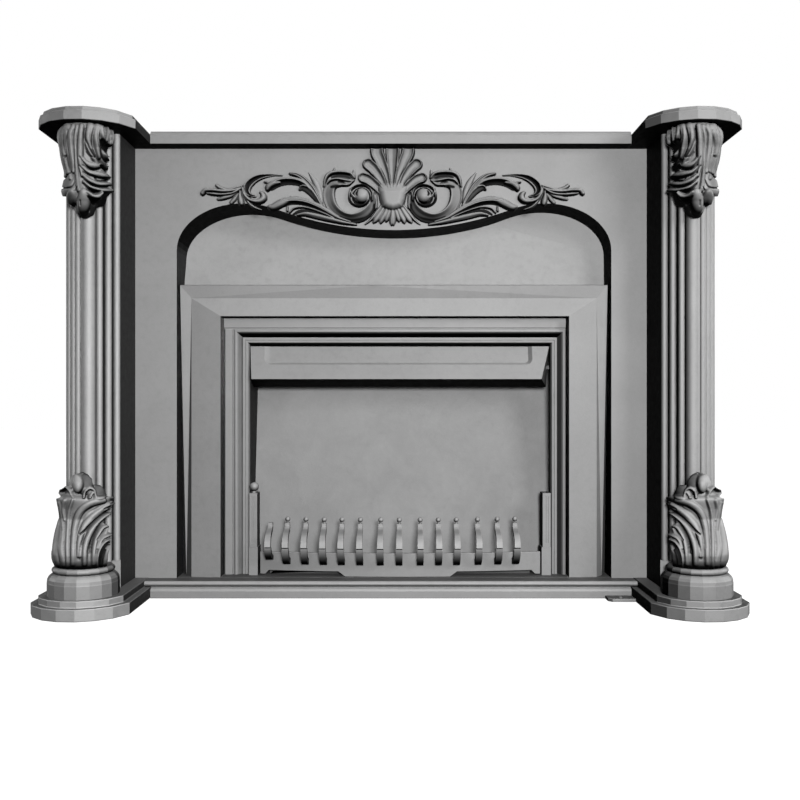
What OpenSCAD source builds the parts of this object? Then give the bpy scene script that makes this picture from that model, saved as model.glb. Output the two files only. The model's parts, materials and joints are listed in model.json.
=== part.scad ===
/* [Overall] */
// Overall width across the two plinths
total_w = 1500; // [1400:10:1600]
// Height of the top of the shelf above the floor
total_h = 1053; // [1000:1:1100]
// Thickness of the capital slabs and of the shelf rail
slab_t = 30; // [20:1:40]
// Thickness of the flat front panel
panel_t = 10; // [8:1:14]

/* [Columns] */
// Radius of the faceted front arc of plinth and slab
arc_r = 110; // [100:1:120]
// Half width of plinth and slab
block_hw = 104; // [100:1:108]
// How far the slab's arc centre stands in front of the panel
slab_cy = 126; // [110:1:140]
// How far the plinth's arc centre stands in front of the panel
plinth_cy = 170.8; // [150:0.1:180]
// Height of the lower plinth step
step1_h = 25; // [18:1:30]
// Height of the top of the upper plinth step
step2_h = 39; // [32:1:50]
// Set-back of the upper plinth step
step_in = 14.5; // [8:0.5:20]
// Half width of the reeded shaft
shaft_hw = 59; // [52:1:64]
// Radius of the faceted drum at the column foot
drum_r = 73.5; // [66:0.5:80]
// How far the drum's axis stands in front of the panel
drum_cy = 182; // [170:1:190]

/* [Front panel] */
// Height of the floor rail under the panel
rail_h = 38; // [30:1:50]
// How far both rails stand in front of the panel
rail_d = 44.5; // [30:0.5:60]
// Sideways shift of the opening from the middle of the piece
open_cx = 7; // [-20:1:20]
// Half width of the opening in the panel
open_hw = 499; // [480:1:510]
// Height of the lowest point of the serpentine head
arch_low = 837; // [800:1:860]
// Thickness of the lip behind the opening's edge
lip_t = 8; // [6:1:12]

/* [Insert] */
// Depth of the insert's flat front face behind the panel face
ins_y = 8; // [6:1:14]
// Left edge of the fire opening in the insert frame
ins_x0 = -393; // [-400:1:-380]
// Right edge of the fire opening in the insert frame
ins_x1 = 410.5; // [400:0.5:420]
// Height of the top of the fire opening in the insert frame
ins_z1 = 640; // [620:1:660]
// Left inner edge of the moulded trim
trim_x0 = -333; // [-340:1:-325]
// Right inner edge of the moulded trim
trim_x1 = 373.5; // [365:0.5:380]
// Height of the moulded trim's inner head
trim_z1 = 577.5; // [560:0.5:590]
// Lean of the fireback, run over rise
back_lean = 0.166; // [0.1:0.002:0.2]

/* [Fire front] */
// Across-face width of one front bar
bar_w = 13.5; // [10:0.5:15]
// How far the front bars bulge ahead of the fret
bar_reach = 57; // [45:1:60]
// Radius of the small balls on the bars
bar_ball_r = 5.8; // [5:0.1:7]
// Radius of the ball on the left post
post_ball_r = 11; // [9:0.5:12]
// How far the fret bows forward over its width
fret_bow = 29; // [20:1:35]

/* [Flue] */
// Bore radius of the flue spigot
flue_r = 63; // [58:0.5:64]
// Length of the flue spigot
flue_l = 60; // [50:1:60]
// Radius of the damper rod
rod_r = 5; // [4:0.5:6]

/* [Hidden] */
$fn = 48;

col_x = total_w / 2 - block_hw;
slab_z = total_h - slab_t;
iron = [0.56, 0.56, 0.57];
iron_dark = [0.42, 0.42, 0.43];
iron_black = [0.25, 0.25, 0.26];
steel = [0.62, 0.63, 0.65];
hood_k = 0.33;
hood_y = 79;
hood_z = 715;
fb_y0 = 114.4;

function sq(a) = a * a;
// faceted half-round outline, local x positive towards the outside, y positive to the back
function arc_pts(r, cy, hw) = [for (a = [-71, -47, -27, -7, 13, 33, 53, 73])
  [min(hw, max(-hw, r * sin(a))), -cy - r * cos(a)]];
// serpentine head of the opening: flat hollow in the middle, a round shoulder on each side
function head_z(u) = let (x = abs(u), r1 = 790, xi = 270, xp = 347,
    zi = arch_low + r1 - sqrt(sq(r1) - sq(xi)), s = xi / r1, r2 = (xp - xi) / s,
    zp = zi + r2 * (1 - sqrt(1 - sq(s))), k = min(1, (x - xp) / (open_hw - xp)))
  x <= xi ? arch_low + r1 - sqrt(sq(r1) - sq(x))
  : x <= xp ? zp - r2 + sqrt(sq(r2) - sq(x - xp))
  : zp - 108 + 108 * sqrt(max(0, 1 - sq(k)));
head_u = concat([for (a = [90:-6:0]) -347 - (open_hw - 347) * sin(a)],
  [for (u = [-330:15:330]) u], [for (a = [0:6:90]) 347 + (open_hw - 347) * sin(a)]);
head_top = arch_low + 61;
// outline of the opening, grown outwards by g
function head_pts(g) = [for (i = [0:len(head_u) - 1]) let (
    u = head_u[i], z = head_z(u), n = len(head_u) - 1,
    a = i == 0 ? [-1, 0] : i == n ? [1, 0] :
      let (d = [head_u[i + 1] - head_u[i - 1], head_z(head_u[i + 1]) - head_z(head_u[i - 1])],
        m = norm(d)) [-d[1] / m, d[0] / m])
  [open_cx + u + g * a[0], z + g * a[1]]];

// extrude an outline in (x, z) along the depth from y0 to y1
module slab_xz(y0, y1) translate([0, y1, 0]) rotate([90, 0, 0]) linear_extrude(y1 - y0) children();
// extrude an outline in (y, z) along the width from x0 to x1
module slab_yz(x0, x1) translate([x0, 0, 0]) rotate([90, 0, 90]) linear_extrude(x1 - x0) children();
module box(a, b) translate(a) cube([b[0] - a[0], b[1] - a[1], b[2] - a[2]]);
module bore_y(x, y0, y1, z, r) translate([x, y0, z]) rotate([-90, 0, 0]) cylinder(h = y1 - y0, r = r);
module side(s) mirror([s < 0 ? 1 : 0, 0, 0]) children();

// ---- columns, drawn on the right and mirrored to the left ----
module block(r, cy, hw, z0, z1, back) translate([col_x, 0, z0]) linear_extrude(z1 - z0)
  polygon(concat([[-hw, back]], arc_pts(r, cy, hw), [[hw, back]]));

module plinth() {
  difference() {
    union() {
      block(arc_r, plinth_cy, block_hw, 0, step1_h, panel_t);
      block(arc_r - step_in, plinth_cy, block_hw - step_in, step1_h, step2_h, panel_t);
    }
    difference() {
      translate([0, 0, -1]) block(arc_r - 26, plinth_cy, block_hw - 26, 0, step2_h - 11, -4);
      box([col_x - 6, -300, -2], [col_x + 6, 20, step2_h]);
      box([col_x - 120, -146, -2], [col_x + 120, -134, step2_h]);
    }
  }
}
module column_base() {
  difference() {
    translate([col_x, -drum_cy, 0]) rotate_extrude($fn = 96) polygon(concat(
      [[0, step2_h], [drum_r, step2_h], [drum_r, 68]],
      [for (a = [0:10:90]) [58 + 15.5 * cos(a), 68 + 18 * sin(a)]],
      [for (a = [-80:20:170]) [57.2 + 6.8 * cos(a), 92.2 + 6.8 * sin(a)]],
      [[50, 86], [0, 86]]));
    box([col_x - shaft_hw - 0.5, -118, step2_h - 1], [col_x + shaft_hw + 0.5, 0, 120]);
    translate([col_x, -drum_cy, step2_h - 1]) cylinder(h = 33, r = 56);
  }
}
module reed(u, y, r) translate([col_x + u, y]) circle(r = r);
module shaft_plan() {
  translate([col_x - shaft_hw, -117]) square([2 * shaft_hw, 117 + panel_t]);
  translate([col_x - 44, -132]) square([88, 20]);
  translate([col_x - 29, -146]) square([58, 20]);
  for (s = [-1, 1]) { reed(s * 51, -117, 8); reed(s * 37, -132, 8); reed(s * 22.5, -147, 7.5); }
  reed(0, -149.5, 16.5);
}
module column_shaft() {
  difference() {
    union() {
      translate([0, 0, 99]) linear_extrude(slab_z - 99) shaft_plan();
      box([col_x - shaft_hw, -117, step2_h], [col_x + shaft_hw, panel_t, 100]);
    }
    difference() {
      union() {
        box([col_x - shaft_hw + 9, -108, step2_h - 1], [col_x + shaft_hw - 9, panel_t + 1, slab_z + 1]);
        box([col_x - 20, -140, 100], [col_x + 20, -100, slab_z - 14]);
      }
      for (z = [200, 530, 860]) box([col_x - shaft_hw, -26, z - 14], [col_x - shaft_hw + 28, 0, z + 14]);
    }
    box([col_x - shaft_hw - 1, 0, 0], [col_x - shaft_hw + 19, panel_t + 1, total_h]);
    for (z = [200, 530, 860]) bore_y(col_x - shaft_hw + 14, -20, 1, z, 4.05);
  }
}
module capital_slab() {
  block(arc_r, slab_cy, block_hw, slab_z, total_h - 9, panel_t);
  block(arc_r - 7, slab_cy, block_hw - 7, total_h - 9, total_h, panel_t);
}
// leaf castings: half bells around the front of the shaft
module half_bell(pts, t) translate([col_x, -166, 0]) rotate([0, 0, 180]) {
  rotate_extrude(angle = 180, $fn = 64) difference() {
    polygon(concat([[0, pts[0][1]]], pts, [[0, pts[len(pts) - 1][1]]]));
    polygon(concat([[0, pts[0][1] + t]], [for (p = pts) [max(2, p[0] - t), min(pts[len(pts) - 1][1] - t, max(pts[0][1] + t, p[1]))]],
      [[0, pts[len(pts) - 1][1] - t]]));
  }
}
module base_acanthus() half_bell([[44, 86], [46, 92], [50, 99.5], [60, 106], [65, 114], [68, 126], [66, 140], [58, 175],
  [54, 200], [56, 222], [60, 240], [46, 250], [42, 272], [37, 288], [28, 296]], 11);
module capital_acanthus() half_bell([[10, 824], [19, 832], [21, 846], [32, 852], [42, 868], [57, 872],
  [58, 884], [46, 905], [42, 930], [48, 965], [55, 990], [56, 1010], [50, 1020], [36, slab_z]], 11);

// ---- rails and panel ----
module mantel_rail() slab_yz(-col_x + block_hw, col_x - block_hw) polygon([[panel_t, slab_z], [-rail_d, slab_z],
  [-rail_d, total_h - 9], [-rail_d + 2, total_h - 9], [-rail_d + 2, total_h - 6], [-rail_d + 8, total_h],
  [panel_t, total_h]]);
module floor_rail() {
  slab_yz(-col_x + block_hw, col_x - block_hw) polygon(concat([[panel_t, 0], [-rail_d, 0]],
    [for (a = [0:15:90]) [-rail_d + 7 * (1 - cos(a)), 15 + 8 * sin(a)]], [[-rail_d + 9, 23],
    [-rail_d + 9, step1_h], [panel_t, step1_h]]));
  slab_yz(-col_x + block_hw - step_in, col_x - block_hw + step_in) polygon(concat([[panel_t, step1_h], [-rail_d + 9, step1_h]],
    [for (a = [-60:15:90]) [-rail_d + 10 - 7 * cos(a), 31.5 + 6.5 * sin(a)]], [[panel_t, rail_h]]));
}
module floor_lug() difference() {
  translate([0, 0, 0]) linear_extrude(7) polygon([[491, -83], [542, -83], [542, -rail_d],
    [482, -rail_d], [482, -74]]);
  translate([514, -64, -1]) cylinder(h = 9, r = 4.5);
}
stud_at = [[-352, 925], [-146, 893], [153, 893], [359, 925], [3.5, 870], [3.5, 960]];
module front_panel() {
  difference() {
    slab_xz(0, panel_t) polygon([[-col_x + shaft_hw - 19, step2_h], [-col_x + block_hw - step_in, step2_h],
      [-col_x + block_hw - step_in, rail_h], [col_x - block_hw + step_in, rail_h], [col_x - block_hw + step_in, step2_h],
      [col_x - shaft_hw + 19, step2_h], [col_x - shaft_hw + 19, slab_z], [-col_x + shaft_hw - 19, slab_z]]);
    slab_xz(-1, panel_t + 1) polygon(concat([[open_cx - open_hw, rail_h - 1]], head_pts(0), [[open_cx + open_hw, rail_h - 1]]));
    for (p = stud_at) bore_y(p[0], -1, panel_t + 1, p[1], 3.3);
    for (s = [-1, 1]) for (z = [200, 530, 860]) bore_y(s * (col_x - shaft_hw + 14), -1, panel_t + 1, z, 4.5);
  }
  difference() {
    intersection() {
      slab_xz(panel_t - 1, 150) polygon(concat(
        [[open_cx - open_hw - lip_t, rail_h]], head_pts(lip_t), [[open_cx + open_hw + lip_t, rail_h], [open_cx + open_hw, rail_h]],
        [for (i = [len(head_u) - 1:-1:0]) head_pts(0)[i]], [[open_cx - open_hw, rail_h]]));
      slab_yz(-600, 600) polygon([[0, rail_h], [80, rail_h], [80, hood_z], [150, hood_z], [150, hood_z + 200], [0, hood_z + 200]]);
    }
    hood_solid(100);
  }
}
// ---- shell and scrolls on the panel's head ----
// drafting grid of the relief: one unit is gu millimetres, 392.5 across is the shell's middle line
gu = 2.287;
sh_x = 3.5;
function gp(p) = [sh_x + (p[0] - 392.5) * gu, 903.9 + (200 - p[1]) * gu];
// outline of a limb that follows points [across, down, half width]
function limb(q) = let (n = len(q) - 1,
    nn = [for (i = [0:n]) let (a = q[max(0, i - 1)], b = q[min(n, i + 1)], d = [b[0] - a[0], b[1] - a[1]])
      [-d[1], d[0]] / norm(d)])
  [for (i = [0:n]) gp([q[i][0] + nn[i][0] * q[i][2], q[i][1] + nn[i][1] * q[i][2]]),
   for (i = [n:-1:0]) gp([q[i][0] - nn[i][0] * q[i][2], q[i][1] - nn[i][1] * q[i][2]])];
module limb_2d(q) {
  polygon(limb(q));
  translate(gp(q[len(q) - 1])) circle(r = q[len(q) - 1][2] * gu * 0.96, $fn = 24);
}
module about_shell() translate([2 * sh_x, 0]) mirror([1, 0]) children();
module shell_2d() {
  limb_2d([[392.5, 193, 3], [392.5, 170, 5], [392.5, 154, 6.5]]);
  for (k = [0, 1]) {
    if (k == 0) half_shell_2d();
    if (k == 1) about_shell() half_shell_2d();
  }
  translate(gp([392.5, 199])) circle(r = 15.5 * gu);
}
module half_shell_2d() {
  limb_2d([[390, 193, 3], [384, 172, 5.5], [380, 160, 6.5], [378, 155, 6.5]]);
  limb_2d([[388, 193, 3], [379, 177, 6], [373, 168, 6.5], [369, 164, 6.5]]);
  limb_2d([[386, 195, 5], [375, 186, 6], [367, 179, 6], [362, 177, 5.5]]);
  polygon([for (p = [[393, 200], [379, 207], [375, 214], [365, 224], [372, 222], [380, 222.5], [386, 220.5], [393, 224.5]]) gp(p)]);
}
module shell_cartouche() {
  slab_xz(-14, 0) intersection() {
    shell_2d();
    translate([-200, 700]) square([400, slab_z - 1.5 - 700]);
  }
  translate([gp([392.5, 199])[0], 0, gp([392.5, 199])[1]]) rotate([90, 0, 0]) difference() {
    sphere(r = 15.5 * gu);
    translate([-60, -60, -120]) cube([120, 120, 120]);
    translate([-60, -60, 26]) cube([120, 120, 60]);
  }
}
module scroll_2d() {
  translate(gp([361.5, 196])) circle(r = 14 * gu);
  limb_2d([[373, 200, 3], [371, 209, 4], [363, 215.5, 4.5], [353, 218.5, 4.5], [343, 216, 5], [333, 208.5, 5.5],
    [329, 198, 6.5], [329.5, 190, 6], [334, 184, 5], [342, 178, 6], [350, 178, 5], [354, 177, 2.5]]);
  limb_2d([[321, 206, 2.5], [316, 196, 4], [309, 184, 4.5], [302, 177, 3.5], [293, 173.5, 1.5]]);
  limb_2d([[321, 200, 2], [316, 188, 3], [309, 174, 1.5]]);
  limb_2d([[354, 222, 3], [338, 216.5, 3.5], [322, 208.5, 4], [308, 203, 4], [292, 201, 4.5], [280, 203, 6], [272, 206, 4]]);
  limb_2d([[354, 222, 3], [335, 220, 3.5], [318, 216, 5], [303, 213, 4], [296, 215, 2]]);
  limb_2d([[322, 205, 3], [312, 195, 3.5], [303, 187, 3.5]]);
  limb_2d([[307, 186, 4], [297, 182, 4.5], [285, 180.5, 4.5], [274, 182, 5], [268, 186, 5]]);
  limb_2d([[279, 176.5, 2], [266, 177, 2.5], [256, 179, 3.5], [249, 184, 4.5], [246, 190, 4.5], [250, 196, 4.5],
    [257, 199, 5], [262, 197, 5]]);
  limb_2d([[241, 188, 2], [245, 199, 2.5], [251, 205.5, 2], [259, 209, 1.2]]);
  limb_2d([[240, 190, 2], [241.5, 198, 4.5], [241.5, 203, 3]]);
  limb_2d([[243, 188, 3], [230, 191.5, 5], [215, 192, 5], [203, 193, 3.5]]);
  limb_2d([[240, 188, 2], [224, 188.5, 2.5], [216, 185, 2]]);
}
// the spray stops a hair short of the shell's edge
module spray_2d() difference() {
  scroll_2d();
  polygon([for (p = [[350, 140], [355.5, 172], [355.5, 180], [358, 183.5], [363, 185.4], [370.5, 192], [376.2, 197.5],
    [376.4, 203], [373.5, 213], [363, 224.5], [361, 230], [430, 230], [430, 140]]) gp(p)]);
}
module scroll(s) slab_xz(-11, 0) {
  if (s < 0) spray_2d(); else about_shell() spray_2d();
}
module applique_studs() for (p = stud_at) {
  bore_y(p[0], 0, 18, p[1], 3);
  translate([p[0], panel_t, p[1]]) rotate([-90, 0, 0]) cylinder(h = 5, r = 5.8, $fn = 6);
}
module column_bolts() for (s = [-1, 1]) for (z = [200, 530, 860]) {
  bore_y(s * (col_x - shaft_hw + 14), -18, panel_t + 2, z, 4);
  translate([s * (col_x - shaft_hw + 14), panel_t, z]) rotate([-90, 0, 0]) cylinder(h = 6, r = 7.5, $fn = 6);
}
br_x = 650;
module wall_brackets() for (s = [-1, 1]) for (z = [130, 960]) difference() {
  box([s > 0 ? col_x - shaft_hw + 19 : -(col_x + shaft_hw - 9), 2, z - 22],
    [s > 0 ? col_x + shaft_hw - 9 : -(col_x - shaft_hw + 19), panel_t, z + 22]);
  bore_y(s * br_x, 1, panel_t + 1, z, 5);
}
// ---- insert ----
// sloping hood, folded forward along a diagonal at its right shoulder; t is its thickness in y
module hood_solid(t) polyhedron(points = [for (d = [0, t]) for (p = [[-600, hood_y, hood_z], [520, hood_y, hood_z], [560, 82.5, hood_z + 200],
    [150, hood_y + 200 * hood_k, hood_z + 200], [-600, hood_y + 200 * hood_k, hood_z + 200]]) [p[0], p[1] + d, p[2]]],
  faces = [[4, 3, 1, 0], [3, 2, 1], [5, 6, 8, 9], [6, 7, 8], [0, 1, 6, 5], [1, 2, 7, 6], [2, 3, 8, 7], [3, 4, 9, 8], [4, 0, 5, 9]]);
module hood_plate() intersection() {
  slab_xz(0, 200) polygon(concat([[open_cx - open_hw - 9, hood_z]], head_pts(9), [[open_cx + open_hw + 9, hood_z]]));
  hood_solid(9);
}
module insert_frame() {
  x0 = open_cx - open_hw + 0.8;
  x1 = open_cx + open_hw - 0.8;
  difference() {
    // flat legs that rise towards the opening, a twisted outer bevel, then a steep flank back to the lip
    polyhedron(points = [[-461.5, ins_y + 8, rail_h], [475.5, ins_y + 8, rail_h], [475.5, ins_y + 8, 682], [-461.5, ins_y + 8, 682],
        [ins_x0, ins_y, rail_h], [ins_x1, ins_y, rail_h], [ins_x1, ins_y, ins_z1], [ins_x0, ins_y, ins_z1],
        [-477.5, ins_y + 27, rail_h], [491, ins_y + 27, rail_h], [500, ins_y + 5, 711.5], [-43, ins_y + 2.5, 711], [-487, ins_y + 5, 711.5],
        [x0, 72, rail_h], [x1, 72, rail_h], [x1, 34, hood_z], [x0, 34, hood_z],
        [x0, 80, rail_h], [x1, 80, rail_h], [x1, 80, hood_z], [x0, 80, hood_z]],
      faces = [[3, 7, 4, 0], [3, 2, 6, 7], [6, 2, 1, 5], [7, 6, 5, 4], [12, 3, 8], [3, 0, 8], [2, 10, 9], [2, 9, 1],
        [12, 11, 3], [11, 2, 3], [11, 10, 2], [16, 12, 8], [16, 8, 13], [20, 16, 13, 17], [10, 15, 14], [10, 14, 9],
        [15, 19, 18, 14], [16, 11, 12], [16, 15, 11], [15, 10, 11], [20, 19, 15, 16], [19, 20, 17, 18],
        [18, 17, 13, 8, 0, 4, 5, 1, 9, 14]]);
    box([ins_x0, 0, 0], [ins_x1, 90, ins_z1]);
    box([-474, 50, 0], [-402, 90, 700]);
    box([-452, 20, 0], [-402, 90, 672]);
    box([419.5, 50, 0], [488, 90, 700]);
    box([419.5, 20, 0], [466, 90, 672]);
    box([-403, 20, 649], [420.5, 90, 672]);
    box([-403, 58, 649], [420.5, 90, 700]);
  }
}
// moulded bar of the trim: w runs from its outer edge inwards, y is depth
trim_y = 42;
trim_pts = [[0, trim_y + 26], [0, trim_y + 1.5], [1.5, trim_y], [6, trim_y - 1], [8, trim_y], [10, trim_y + 2], [11.5, trim_y + 4.5],
  [13.5, trim_y + 8], [19, trim_y + 17], [19, trim_y + 8], [20, trim_y + 7], [25.5, trim_y + 7], [25.5, trim_y + 9], [27, trim_y + 9],
  [27, trim_y + 7], [31, trim_y + 7.5], [33, trim_y + 9.5], [35, trim_y + 13], [35, trim_y + 26]];
module trim_frame() {
  xl = trim_x0 - 35;
  xr = trim_x1 + 35;
  zt = trim_z1 + 35;
  intersection() {
    translate([xl, 0, rail_h]) linear_extrude(700) polygon(trim_pts);
    slab_xz(0, 100) polygon([[xl, rail_h], [trim_x0, rail_h], [trim_x0, trim_z1], [xl, zt]]);
  }
  intersection() {
    translate([xr, 0, rail_h]) mirror([1, 0, 0]) linear_extrude(700) polygon(trim_pts);
    slab_xz(0, 100) polygon([[xr, rail_h], [trim_x1, rail_h], [trim_x1, trim_z1], [xr, zt]]);
  }
  intersection() {
    slab_yz(xl - 1, xr + 1) polygon([for (p = trim_pts) [p[1], zt - p[0]]]);
    slab_xz(0, 100) polygon([[xl, zt], [trim_x0, trim_z1], [trim_x1, trim_z1], [xr, zt]]);
  }
  // flat fascia outside the moulding, at the head and on the left only
  translate([0, 0, rail_h]) linear_extrude(zt - rail_h) polygon([[xl - 23, trim_y + 26], [xl - 23, trim_y + 3],
    [xl - 20, trim_y], [xl - 3, trim_y], [xl - 3, trim_y + 4], [xl, trim_y + 4], [xl, trim_y + 26]]);
  slab_yz(xl - 23, xr) polygon([[trim_y + 26, zt + 25.5], [trim_y + 3, zt + 25.5], [trim_y, zt + 22.5], [trim_y, zt + 3],
    [trim_y + 4, zt + 3], [trim_y + 4, zt], [trim_y + 26, zt]]);
}
can_t = 19.2;
module canopy() difference() {
  polyhedron(points = [[trim_x0 + 1, 62, 573], [trim_x1 - 1, 62, 573], [-326, 35, 495.5], [351, 35, 495.5],
      [trim_x0 + 1, 110, 478], [trim_x1 - 1, 110, 478], [trim_x0 + 1, 110, 573], [trim_x1 - 1, 110, 573]],
    faces = [[0, 1, 3, 2], [2, 3, 5, 4], [1, 5, 3], [1, 7, 5], [0, 2, 4], [0, 4, 6], [0, 6, 7, 1], [6, 4, 5, 7]]);
  slab_yz(-321, 343) polygon([[74, 580], [48, 501.5], [106, 487], [120, 487], [120, 580]]);
  // shallow sunk panel in the face, with splayed sides
  translate([0, 62, 573]) rotate([-can_t, 0, 0]) hull() {
    for (x = [-298 + 16, 332 - 16]) translate([x, -0.01, -30]) rotate([-90, 0, 0]) cylinder(h = 0.01, r = 16, $fn = 48);
    for (x = [-284 + 9, 323 - 9]) translate([x, 5, -30]) rotate([-90, 0, 0]) cylinder(h = 1, r = 9, $fn = 48);
    translate([-298, -0.01, -10]) cube([630, 0.01, 16]);
    translate([-284, 5, -10]) cube([607, 1, 16]);
  }
  for (x = [trim_x0, trim_x1 - 10]) box([x - 1, 71, 519], [x + 11, 121, 528]);
}
// ledge on each cheek that the canopy's side slots rest on
module canopy_pegs() for (x = [[trim_x0, trim_x0 + 10], [trim_x1 - 10, cheek_x1]]) box([x[0], 72, 520], [x[1], 118, 528]);
// the chamber runs on behind the trim on the right
cheek_x1 = 396;
module fireback() slab_yz(trim_x0, cheek_x1) polygon([[fb_y0, rail_h], [fb_y0 + 12.2, rail_h],
  [fb_y0 + 12.2 + (ins_z1 - rail_h) * back_lean, ins_z1], [fb_y0 + (ins_z1 - rail_h) * back_lean, ins_z1]]);
module cheek(x0, x1) slab_yz(x0, x1) polygon([[trim_y + 26, rail_h], [fb_y0 + 12.2, rail_h],
  [fb_y0 + 12.2 + (ins_z1 - rail_h) * back_lean, ins_z1], [trim_y + 26, ins_z1]]);
module hearth_plate() box([-520, panel_t, rail_h - 10], [534, 240, rail_h]);
module hearth_bearers() for (x = [-500, -165, 167, 502]) box([x, panel_t + 6, 0], [x + 12, 234, rail_h - 10]);
module smoke_shelf() difference() {
  box([trim_x0 - 12, 80, ins_z1], [cheek_x1 + 12, 280, ins_z1 + 10]);
  box([-140, 140, ins_z1 - 1], [180, 212, ins_z1 + 11]);
  for (x = [-192, 232]) for (y = [150, 250]) translate([x, y, ins_z1 - 1]) cylinder(h = 12, r = 4.5);
}
ga_x0 = -182;
ga_x1 = 222;
fl_x = 20;
fl_y = 203;
module flue_gather() difference() {
  union() {
    box([ga_x0, 120, ins_z1 + 10], [ga_x1, 280, 800]);
    box([ga_x0 - 20, 128, ins_z1 + 10], [ga_x1 + 20, 280, ins_z1 + 16]);
  }
  box([ga_x0 + 7, 127, ins_z1 + 9], [ga_x1 - 7, 273, 792]);
  translate([fl_x, fl_y, 780]) cylinder(h = 30, r = flue_r + 2);
  for (x = [-192, 232]) for (y = [150, 250]) translate([x, y, ins_z1]) cylinder(h = 20, r = 4.5);
}
module gather_bolts() for (x = [-192, 232]) for (y = [150, 250]) translate([x, y, 0]) {
  translate([0, 0, ins_z1 - 10]) cylinder(h = 30, r = 4);
  translate([0, 0, ins_z1 + 16]) cylinder(h = 6, r = 7.5, $fn = 6);
  translate([0, 0, ins_z1 - 7]) cylinder(h = 7, r = 7.5, $fn = 6);
}
module flue_spigot() translate([fl_x, fl_y, 800]) difference() {
  union() {
    cylinder(h = flue_l, r = flue_r + 7);
    cylinder(h = 8, r = flue_r + 11);
  }
  translate([0, 0, -1]) cylinder(h = flue_l + 2, r = flue_r);
}
rod_y = 232;
rod_z = ins_z1 + 20;
module rod_hole(x0, x1, r) translate([x0, rod_y, rod_z]) rotate([0, 90, 0]) cylinder(h = x1 - x0, r = r);
module damper_brackets() for (x = [-166, 198]) difference() {
  union() {
    box([x, rod_y - 10, ins_z1 + 10], [x + 8, rod_y + 10, rod_z]);
    rod_hole(x, x + 8, 10);
  }
  rod_hole(x - 1, x + 9, rod_r);
}
module damper_flap() difference() {
  union() {
    box([-150, 134, ins_z1 + 11], [190, rod_y, ins_z1 + 17]);
    rod_hole(-150, 190, 9);
  }
  rod_hole(-151, 191, rod_r + 0.05);
}
module damper_rod() rod_hole(-172, 212, rod_r);
module damper_knob() translate([20, 186, ins_z1 + 11]) rotate([180, 0, 0]) {
  cylinder(h = 16, r = 5);
  translate([0, 0, 24]) sphere(r = 11);
}
// ---- fire front ----
fr_cx = 21;
fr_hw = 328;
fr_r = (sq(fr_hw) + sq(fret_bow)) / (2 * fret_bow);
fr_y = 8;
bar_top = 161.2;
bar_x = [-281, -240.5, -197.5, -155, -113.5, -71, -24, 19, 67, 109, 150.5, 200, 246, 287.5];
function fret_y(x) = fr_y + fr_r - sqrt(sq(fr_r) - sq(x - fr_cx));
module bow(r) translate([fr_cx, fr_y + fr_r, 0]) cylinder(h = 300, r = r, $fn = 360);
module fret_plate() difference() {
  intersection() {
    bow(fr_r);
    slab_xz(0, 60) polygon([[-306, rail_h + 3], [-294, rail_h + 3], [-285, 50], [-122, 50], [-106, rail_h + 0.5],
      [136, rail_h + 0.5], [152, 50], [327, 50], [336, rail_h + 3], [348, rail_h + 3], [348, 93], [-306, 93]]);
  }
  translate([0, 0, -1]) bow(fr_r - 8);
}
// upper arm of a bar, from the ball forward to the nose
module bar_arm() polygon(concat([for (p = [[4.5, 109], [0, 112], [1, 118], [3, 124], [6.5, 130], [12, 135], [20, 139.5], [30, 143.5]])
    [p[0] - bar_reach, p[1]]], [[-14, 147.5], [-6, 151], [-2.5, 154.5], [-2, 163], [8, 163], [8, 150], [0, 143.5]],
  [for (p = [[45, 139], [32, 134.5], [22, 130], [16, 125], [13, 118], [12, 109]]) [p[0] - bar_reach, p[1]]]));
// lower arm, tucked in behind the nose and curling back to the fret
module bar_foot(k) polygon([for (p = [[-52.5, 109.5], [-52, 104], [-49.5, 96], [-45, 88], [-38, 80.5], [-29, 74], [-18, 69], [-8, 66.6], [0, 66],
    [8, 66], [8, 80], [0, 80], [-8, 81], [-17, 84], [-26, 89], [-34, 96], [-39, 103], [-41, 109.5]])
  [p[0] * bar_reach / 57, 109.5 - k * (109.5 - p[1])]]);
module fire_bars() difference() {
  for (i = [0:len(bar_x) - 1]) translate([bar_x[i], fret_y(bar_x[i]), 0]) {
    intersection() {
      slab_yz(-bar_w / 2, bar_w / 2) bar_arm();
      slab_xz(-80, 20) polygon([[-bar_w / 2, 100], [bar_w / 2, 100], [bar_w / 2, 122], [bar_w / 2 - 2, 165], [-bar_w / 2 + 2, 165], [-bar_w / 2, 122]]);
    }
    slab_yz(-bar_w / 2 - 0.6, bar_w / 2 + 0.6) bar_foot(i == 0 ? 0.78 : 1);
  }
  intersection() {
    bow(fr_r);
    box([-400, 0, 60], [400, 60, 93.5]);
  }
  box([-400, -80, bar_top], [400, 60, 170]);
}
module bar_balls() for (i = [1:len(bar_x) - 1]) translate([bar_x[i], fret_y(bar_x[i]) + 3, bar_top]) {
  cylinder(h = 4, r = 2.2);
  translate([0, 0, 2.6 + bar_ball_r]) sphere(r = bar_ball_r);
}
module post(x0, x1, w0, w1) difference() {
  union() {
    box([x0, 38, rail_h], [x1, 83, 229]);
    box([w0, 34, rail_h], [w1, 83, 103]);
  }
  for (x = [x0 + 5.2, x1 - 8.2]) box([x, 37, 112], [x + 3, 39.5, 222]);
}
module post_left() post(-331, -313, -331.5, -311);
module post_right() difference() {
  post(354, 372.5, 351, 372.5);
  translate([363, 60, 210]) cylinder(h = 20, r = 4);
}
module post_ball() translate([-322, 50, 229]) {
  cylinder(h = 4, r = 6);
  translate([0, 0, 3 + post_ball_r]) sphere(r = post_ball_r);
}
module grate_rests() for (x = [-307.5, 335.5]) box([x, 86, rail_h], [x + 12, 112, 66]);
module fire_grate() difference() {
  box([-307, 50, 66.3], [347, 117, 77]);
  for (k = [0:15]) box([-296 + 40 * k, 58, 62], [-296 + 40 * k + 24, 110, 80]);
}
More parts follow.
